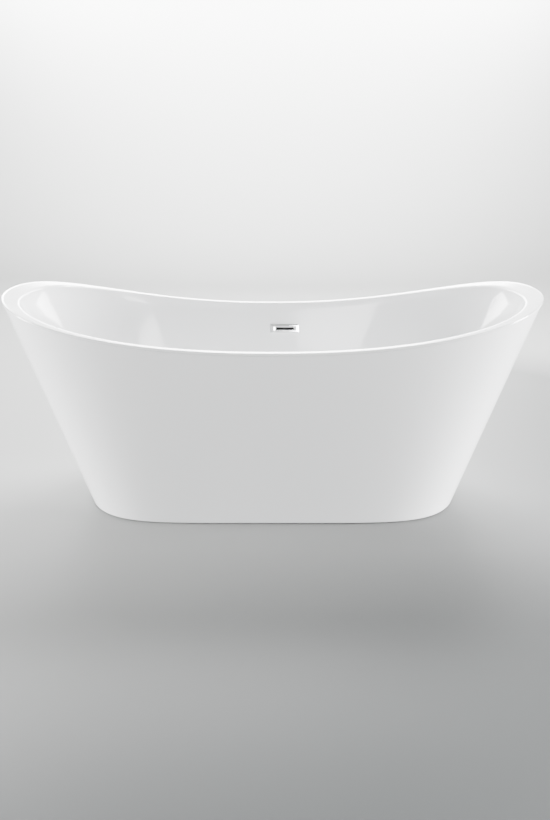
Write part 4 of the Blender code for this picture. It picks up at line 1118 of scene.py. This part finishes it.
def weld_lines():
    points = []
    for number in range(1, 5):
        low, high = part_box(f"cross_member_{number}")
        for x in (low.x, high.x):
            for y in (low.y, high.y):
                points += [Vector((x, y, low.z + TUBE_CORNER)), Vector((x, y, high.z - TUBE_CORNER))]
    for name in FEET:
        low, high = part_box(f"foot_bracket_{name}")
        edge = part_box("frame_rail_front")[0].y if name.startswith("front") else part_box("frame_rail_back")[1].y
        points += [Vector((low.x + TAB_CORNER, edge, high.z)), Vector((high.x - TAB_CORNER, edge, high.z))]
    return points


line_points = weld_lines()
line_mesh = bpy.data.meshes.new("weld_lines")
line_mesh.from_pydata(line_points, [(k, k + 1) for k in range(0, len(line_points), 2)], [])
welds = grow("frame_welds", make_beads_tree(), FRAME_PAINT, bpy.data.objects.new("frame_welds", line_mesh))
settle(welds, FRAME_PAINT)

# %% [markdown]
# # Straps
# Four bent strips of plated steel tie the skirt's flange to the frame. A strip is its side
# view, with the bends rounded, drawn out to its width. Each is held by two hexagon screws.

# %% Straps and their screws
STRAP_THICK, STRAP_TOE, STRAP_SOFT = 0.003, 0.014, 0.0022
SCREW_FLATS, SCREW_TALL, SCREW_BORE, SCREW_DROP, TOE_SHARE = 0.010, 0.0043, 0.002, 0.0045, 0.45


def make_strap(row, end):
    node = f"skirt_strap_{row}_{end}"
    low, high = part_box(node)
    side = -1 if row == "front" else 1
    near, toe = (min(abs(low.y), abs(high.y)), max(abs(low.y), abs(high.y)))
    heel, top, foot = toe - STRAP_TOE, high.z, low.z
    edge = ((near, top), (heel, top), (heel, foot + STRAP_THICK), (toe, foot + STRAP_THICK), (toe, foot),
            (heel - STRAP_THICK, foot), (heel - STRAP_THICK, top - STRAP_THICK), (near, top - STRAP_THICK))
    view = softened([Vector((side * y, z)) for y, z in edge], STRAP_SOFT)
    rings = [[Vector((x, point.x, point.y)) for point in view] for x in (low.x, high.x)]
    middle = (low.x + high.x) / 2
    under = Matrix.Translation((middle, side * (near + TUBE_HALF), top - STRAP_THICK - SCREW_DROP))
    over = Matrix.Translation((middle, side * (toe - STRAP_TOE * TOE_SHARE), foot + STRAP_THICK))
    screws = [hex_block(SCREW_FLATS, 0.0, SCREW_TALL, SCREW_BORE, axis) for axis in (under, over)]
    make(f"strap_{row}_{end}", [skin(rings, capped=True)] + screws, ZINC, nodes=(node,))


for row in ("front", "back"):
    for end in ("left", "right"):
        make_strap(row, end)

# %% [markdown]
# # The overflow hose
# A ribbed hose runs from the box behind the overflow down to the tee. Its centre line is one
# smooth curve with a straight lap over each spigot. Geometry Nodes cut that line into even
# steps and swell and pinch the pipe along it, so the ribs keep one pitch however the hose bends.

# %% The route of the hose
HOSE_OUT, HOSE_LAP, HOSE_BEND, ROUTE_STEPS = 0.0096, 0.015, 0.46, 60
top = outlet @ Vector((0, 0, outlet_foot + HOSE_LAP))
start = DRAIN @ Vector((0, BRANCH_REACH - HOSE_LAP, branch_height))
end = Vector((start.x, top.y, top.z))
lap_start, lap_end = start + Vector((0, HOSE_LAP, 0)), end - upward * HOSE_LAP
bend = HOSE_BEND * (lap_end - lap_start).length
handles = (lap_start, lap_start + Vector((0, bend, 0)), lap_end - upward * bend, lap_end)


def on_bend(t):
    a, b, c, d = handles
    return a * (1 - t) ** 3 + b * 3 * t * (1 - t) ** 2 + c * 3 * t * t * (1 - t) + d * t ** 3


route = [start] + [on_bend(k / ROUTE_STEPS) for k in range(ROUTE_STEPS + 1)] + [end]
hose_length = sum((b - a).length for a, b in zip(route, route[1:]))
print("hose length", round(hose_length, 3))

# %% The tree for a ribbed pipe, and the hose
def make_hose_tree():
    takes = {"Geometry": (GEOMETRY, None), "Outside": (FLOAT, HOSE_OUT), "Groove": (FLOAT, 0.0013),
             "Pitch": (FLOAT, 0.0048), "Cuff": (FLOAT, 0.02), "Length": (FLOAT, 0.6),
             "Material": (MATERIAL, None)}
    tree, given, wanted = new_group("ribbed_pipe", "GeometryNodeTree", takes, {"Geometry": GEOMETRY})
    line = wire(tree, "GeometryNodeMeshToCurve", given["Geometry"])
    even = tree.nodes.new("GeometryNodeResampleCurve")
    even.mode = "LENGTH"
    tree.links.new(line, even.inputs["Curve"])
    tree.links.new(maths(tree, "DIVIDE", given["Pitch"], 6.0), even.inputs["Length"])
    run = wire(tree, "GeometryNodeSplineParameter", out="Length")
    turns = maths(tree, "DIVIDE", run, given["Pitch"])
    wave = maths(tree, "COSINE", maths(tree, "MULTIPLY", turns, 2 * math.pi))
    groove = maths(tree, "MULTIPLY", maths(tree, "MULTIPLY_ADD", wave, -0.5, 0.5), given["Groove"])
    from_end = maths(tree, "MINIMUM", run, maths(tree, "SUBTRACT", given["Length"], run))
    ribbed = maths(tree, "GREATER_THAN", from_end, given["Cuff"])
    radius = maths(tree, "SUBTRACT", given["Outside"], maths(tree, "MULTIPLY", groove, ribbed))
    profile = wire(tree, "GeometryNodeCurvePrimitiveCircle", 20, into={"Radius": 1.0})
    pipe = wire(tree, "GeometryNodeCurveToMesh", even.outputs[0], profile,
                into={"Scale": radius, "Fill Caps": True})
    return end_tree(tree, wanted, given["Material"], pipe)


route_mesh = bpy.data.meshes.new("hose_route")
route_mesh.from_pydata(route, [(k, k + 1) for k in range(len(route) - 1)], [])
hose = grow("ribbed_hose", make_hose_tree(), HOSE_PLASTIC, bpy.data.objects.new("ribbed_hose", route_mesh),
            Length=hose_length)
settle(hose, HOSE_PLASTIC, nodes=("overflow_hose",))

# %% Hose clips
CLIP_BAND, CLIP_WIDTH, CLIP_TEETH = 0.0012, 0.009, 40


def make_clip(name, middle, along_y):
    """A worm-drive clip: a band and its raised teeth."""
    axis = Matrix.Translation(middle) @ along_y.to_track_quat("Z", "Y").to_matrix().to_4x4()
    bore = HOSE_OUT + GAP
    crest = bore + CLIP_BAND * 0.6
    band = turned(tube(bore, crest, -CLIP_WIDTH / 2, CLIP_WIDTH / 2), axis, hollow=True, soft=FINE)
    teeth = []
    for k in range(CLIP_TEETH):
        turn = axis @ Matrix.Rotation(2 * math.pi * k / CLIP_TEETH, 4, "Z")
        teeth.append(plate(CLIP_BAND * 0.3, SOFT, FINE / 2, -CLIP_WIDTH * 0.35, CLIP_WIDTH * 0.35, FINE / 2,
                           turn @ Matrix.Translation((crest, 0, 0))))
    make(f"clip_{name}", [band] + teeth, ZINC, nodes=(f"hose_clamp_{name}",))


make_clip("low", start + Vector((0, HOSE_LAP / 2, 0)), Vector((0, 1, 0)))
make_clip("high", end - upward * HOSE_LAP / 2, upward)

# %% [markdown]
# # What is left of the frame
# The two screws in the overflow keep their own shape, because only their ends could ever be
# seen. They get the same plated finish as the other steel.

# %% Finishes for the nodes that stay
for name in ("overflow_screw_left", "overflow_screw_right"):
    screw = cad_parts[name]
    if not screw.data.materials:
        screw.data.materials.append(ZINC)
    for place in range(len(screw.data.materials)):
        screw.data.materials[place] = ZINC
left_over = [name for name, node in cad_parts.items() if not node.hide_render]
print("nodes shown as they are", left_over)

# %% [markdown]
# The floor and the wall are one pale sweep, as on a paper roll, turned into a wide dish so that
# every side of the tub has the same plain surroundings. Light and shade are painted into the
# sweep's colour as a slow change of tone: painted light far behind and to the left, painted shade
# in front and to the right, extra painted shade on the floor in front of the tub, and lighter again
# beyond two metres out. A large panel overhead and behind lights the inside. A panel at each end
# brightens the skirt's ends and leaves its middle greyer. A lamp washes the wall, a long card behind
# is mirrored in the rim, a card in front is mirrored in the overflow plate, and a slim strip draws
# the inner streaks. The panels are hidden from the camera, so that they light the tub from every side but aren't
# seen.

# %% The sweep
# Painted light and shade: the sweep's colour runs from the dark tone in front and to the right to the pale tone
# far behind and to the left, standing in for light that falls off that way.
PAINTED_SHADE_TONE, PAINTED_LIGHT_TONE = (0.060, 0.064, 0.065, 1.0), (0.35, 0.354, 0.35, 1.0)
TONE_FROM, TONE_TO = -1.5, 0.8
TONE_BY_DEPTH, TONE_BY_SIDE, UNEVEN = 0.3, -0.75, 0.2
FRONT_FROM, FRONT_LEAST, FRONT_PAINTED_SHADE = -0.45, -1.0, 1.0
PALE_FROM, PALE_RISE = 2.0, 2.0


def make_backdrop_painted_falloff():
    material = bpy.data.materials.new("studio_grey_painted_falloff")
    material.use_nodes = True
    tree = material.node_tree
    shader = tree.nodes["Principled BSDF"]
    place = tree.nodes.new("ShaderNodeSeparateXYZ")
    tree.links.new(object_place(tree), place.inputs[0])
    # Painted falloff: darker towards +X and lower down, lighter up the wall and further back.
    way = maths(tree, "MULTIPLY_ADD", place.outputs["X"], TONE_BY_SIDE, place.outputs["Z"])
    # Painted shade on the floor in front of the tub: the tone drops for points nearer the camera.
    in_front = maths(tree, "MINIMUM", maths(tree, "SUBTRACT", place.outputs["Y"], FRONT_FROM), 0.0)
    way = maths(tree, "MULTIPLY_ADD", maths(tree, "MAXIMUM", in_front, FRONT_LEAST), FRONT_PAINTED_SHADE, way)
    flat = wire(tree, "ShaderNodeCombineXYZ", place.outputs["X"], place.outputs["Y"])
    away = wire(tree, "ShaderNodeVectorMath", flat, operation="LENGTH", out="Value")
    beyond = maths(tree, "MAXIMUM", maths(tree, "SUBTRACT", away, PALE_FROM), 0.0)
    way = maths(tree, "MULTIPLY_ADD", beyond, PALE_RISE, way)
    way = maths(tree, "MULTIPLY_ADD", place.outputs["Y"], TONE_BY_DEPTH, way)
    way = maths(tree, "MULTIPLY_ADD", noise(tree, object_place(tree), 0.6, 2.0), UNEVEN, way)
    # The painted light and shade: a smooth step from the shaded tone to the lit tone.
    share = wire(tree, "ShaderNodeMapRange", way, TONE_FROM, TONE_TO, interpolation_type="SMOOTHSTEP")
    tree.links.new(mixed(tree, share, PAINTED_SHADE_TONE, PAINTED_LIGHT_TONE), shader.inputs["Base Color"])
    shader.inputs["Roughness"].default_value = 0.75
    return material


DISH, WALL_RISE, SWEEP, SWEEP_STEPS, DISH_TURNS = 7.0, 7.0, 3.0, 32, 192
dish = [Vector((radius, 0.0)) for radius in (0.02, 1.0, 2.5)]
dish += [rounded(Vector((DISH - SWEEP, 0)), Vector((DISH, 0)), Vector((DISH, SWEEP)), k / SWEEP_STEPS)
         for k in range(SWEEP_STEPS + 1)] + [Vector((DISH, WALL_RISE))]
dish_rings = [[Vector((at.x * math.cos(turn), at.x * math.sin(turn), at.y))
               for turn in (2 * math.pi * k / DISH_TURNS for k in range(DISH_TURNS))] for at in dish]
dish_points, dish_faces = skin(dish_rings)
backdrop_mesh = bpy.data.meshes.new("backdrop")
backdrop_mesh.from_pydata(dish_points, [], [face[::-1] for face in dish_faces] + [tuple(range(DISH_TURNS))])
backdrop_mesh.shade_smooth()
backdrop_mesh.materials.append(make_backdrop_painted_falloff())
backdrop = bpy.data.objects.new("backdrop", backdrop_mesh)
bpy.context.collection.objects.link(backdrop)

# %% Lights
def panel(name, place, target, size, watts, colour=(1.0, 1.0, 1.0)):
    light = bpy.data.lights.new(name, "AREA")
    light.shape, light.size, light.size_y = "RECTANGLE", size[0], size[1]
    light.energy, light.color = watts, colour
    holder = bpy.data.objects.new(name, light)
    holder.location = place
    holder.rotation_euler = (Vector(target) - Vector(place)).to_track_quat("-Z", "Y").to_euler()
    holder.visible_camera = False
    bpy.context.collection.objects.link(holder)
    return holder


panel("overhead", (0.8, 2.2, 3.4), (0, 0, 0.4), (2.4, 1.0), 560)
panel("left_panel", (-4.4, -0.6, 0.6), (-0.3, 0, 0.3), (1.6, 1.1), 560)
panel("right_panel", (4.4, -0.6, 0.6), (0.3, 0, 0.3), (1.6, 1.1), 960)
panel("front_card", (-0.2, -3.0, 1.9), (0, 0.3, 0.5), (2.6, 1.2), 7)
panel("bright_card", (0.50, -2.4, 1.95), (0.05, 0.34, 0.5), (0.7, 0.6), 30)
panel("wall_wash", (0.0, 5.4, 3.6), (0.0, 7.0, 2.6), (6.0, 0.3), 1900)
panel("rim_card", (0.0, 4.0, 1.55), (0.0, 0.0, 0.6), (5.4, 0.7), 320)
panel("strip", (-1.5, 2.4, 2.0), (-0.6, 0, 0.5), (0.08, 1.6), 20)

world = bpy.data.worlds.new("studio")
bpy.context.scene.world = world
world.use_nodes = True
sky = world.node_tree.nodes["Background"]
sky.inputs["Color"].default_value = (0.95, 0.97, 1.0, 1.0)
sky.inputs["Strength"].default_value = 0.12

# %% Camera
camera = bpy.data.objects.new("camera", bpy.data.cameras.new("camera"))
camera.data.lens = 30.43
camera.location = (0.0081, -2.2683, 1.0760)
camera.rotation_euler = (math.radians(90 - 19.22), 0, 0)
bpy.context.collection.objects.link(camera)
bpy.context.scene.camera = camera
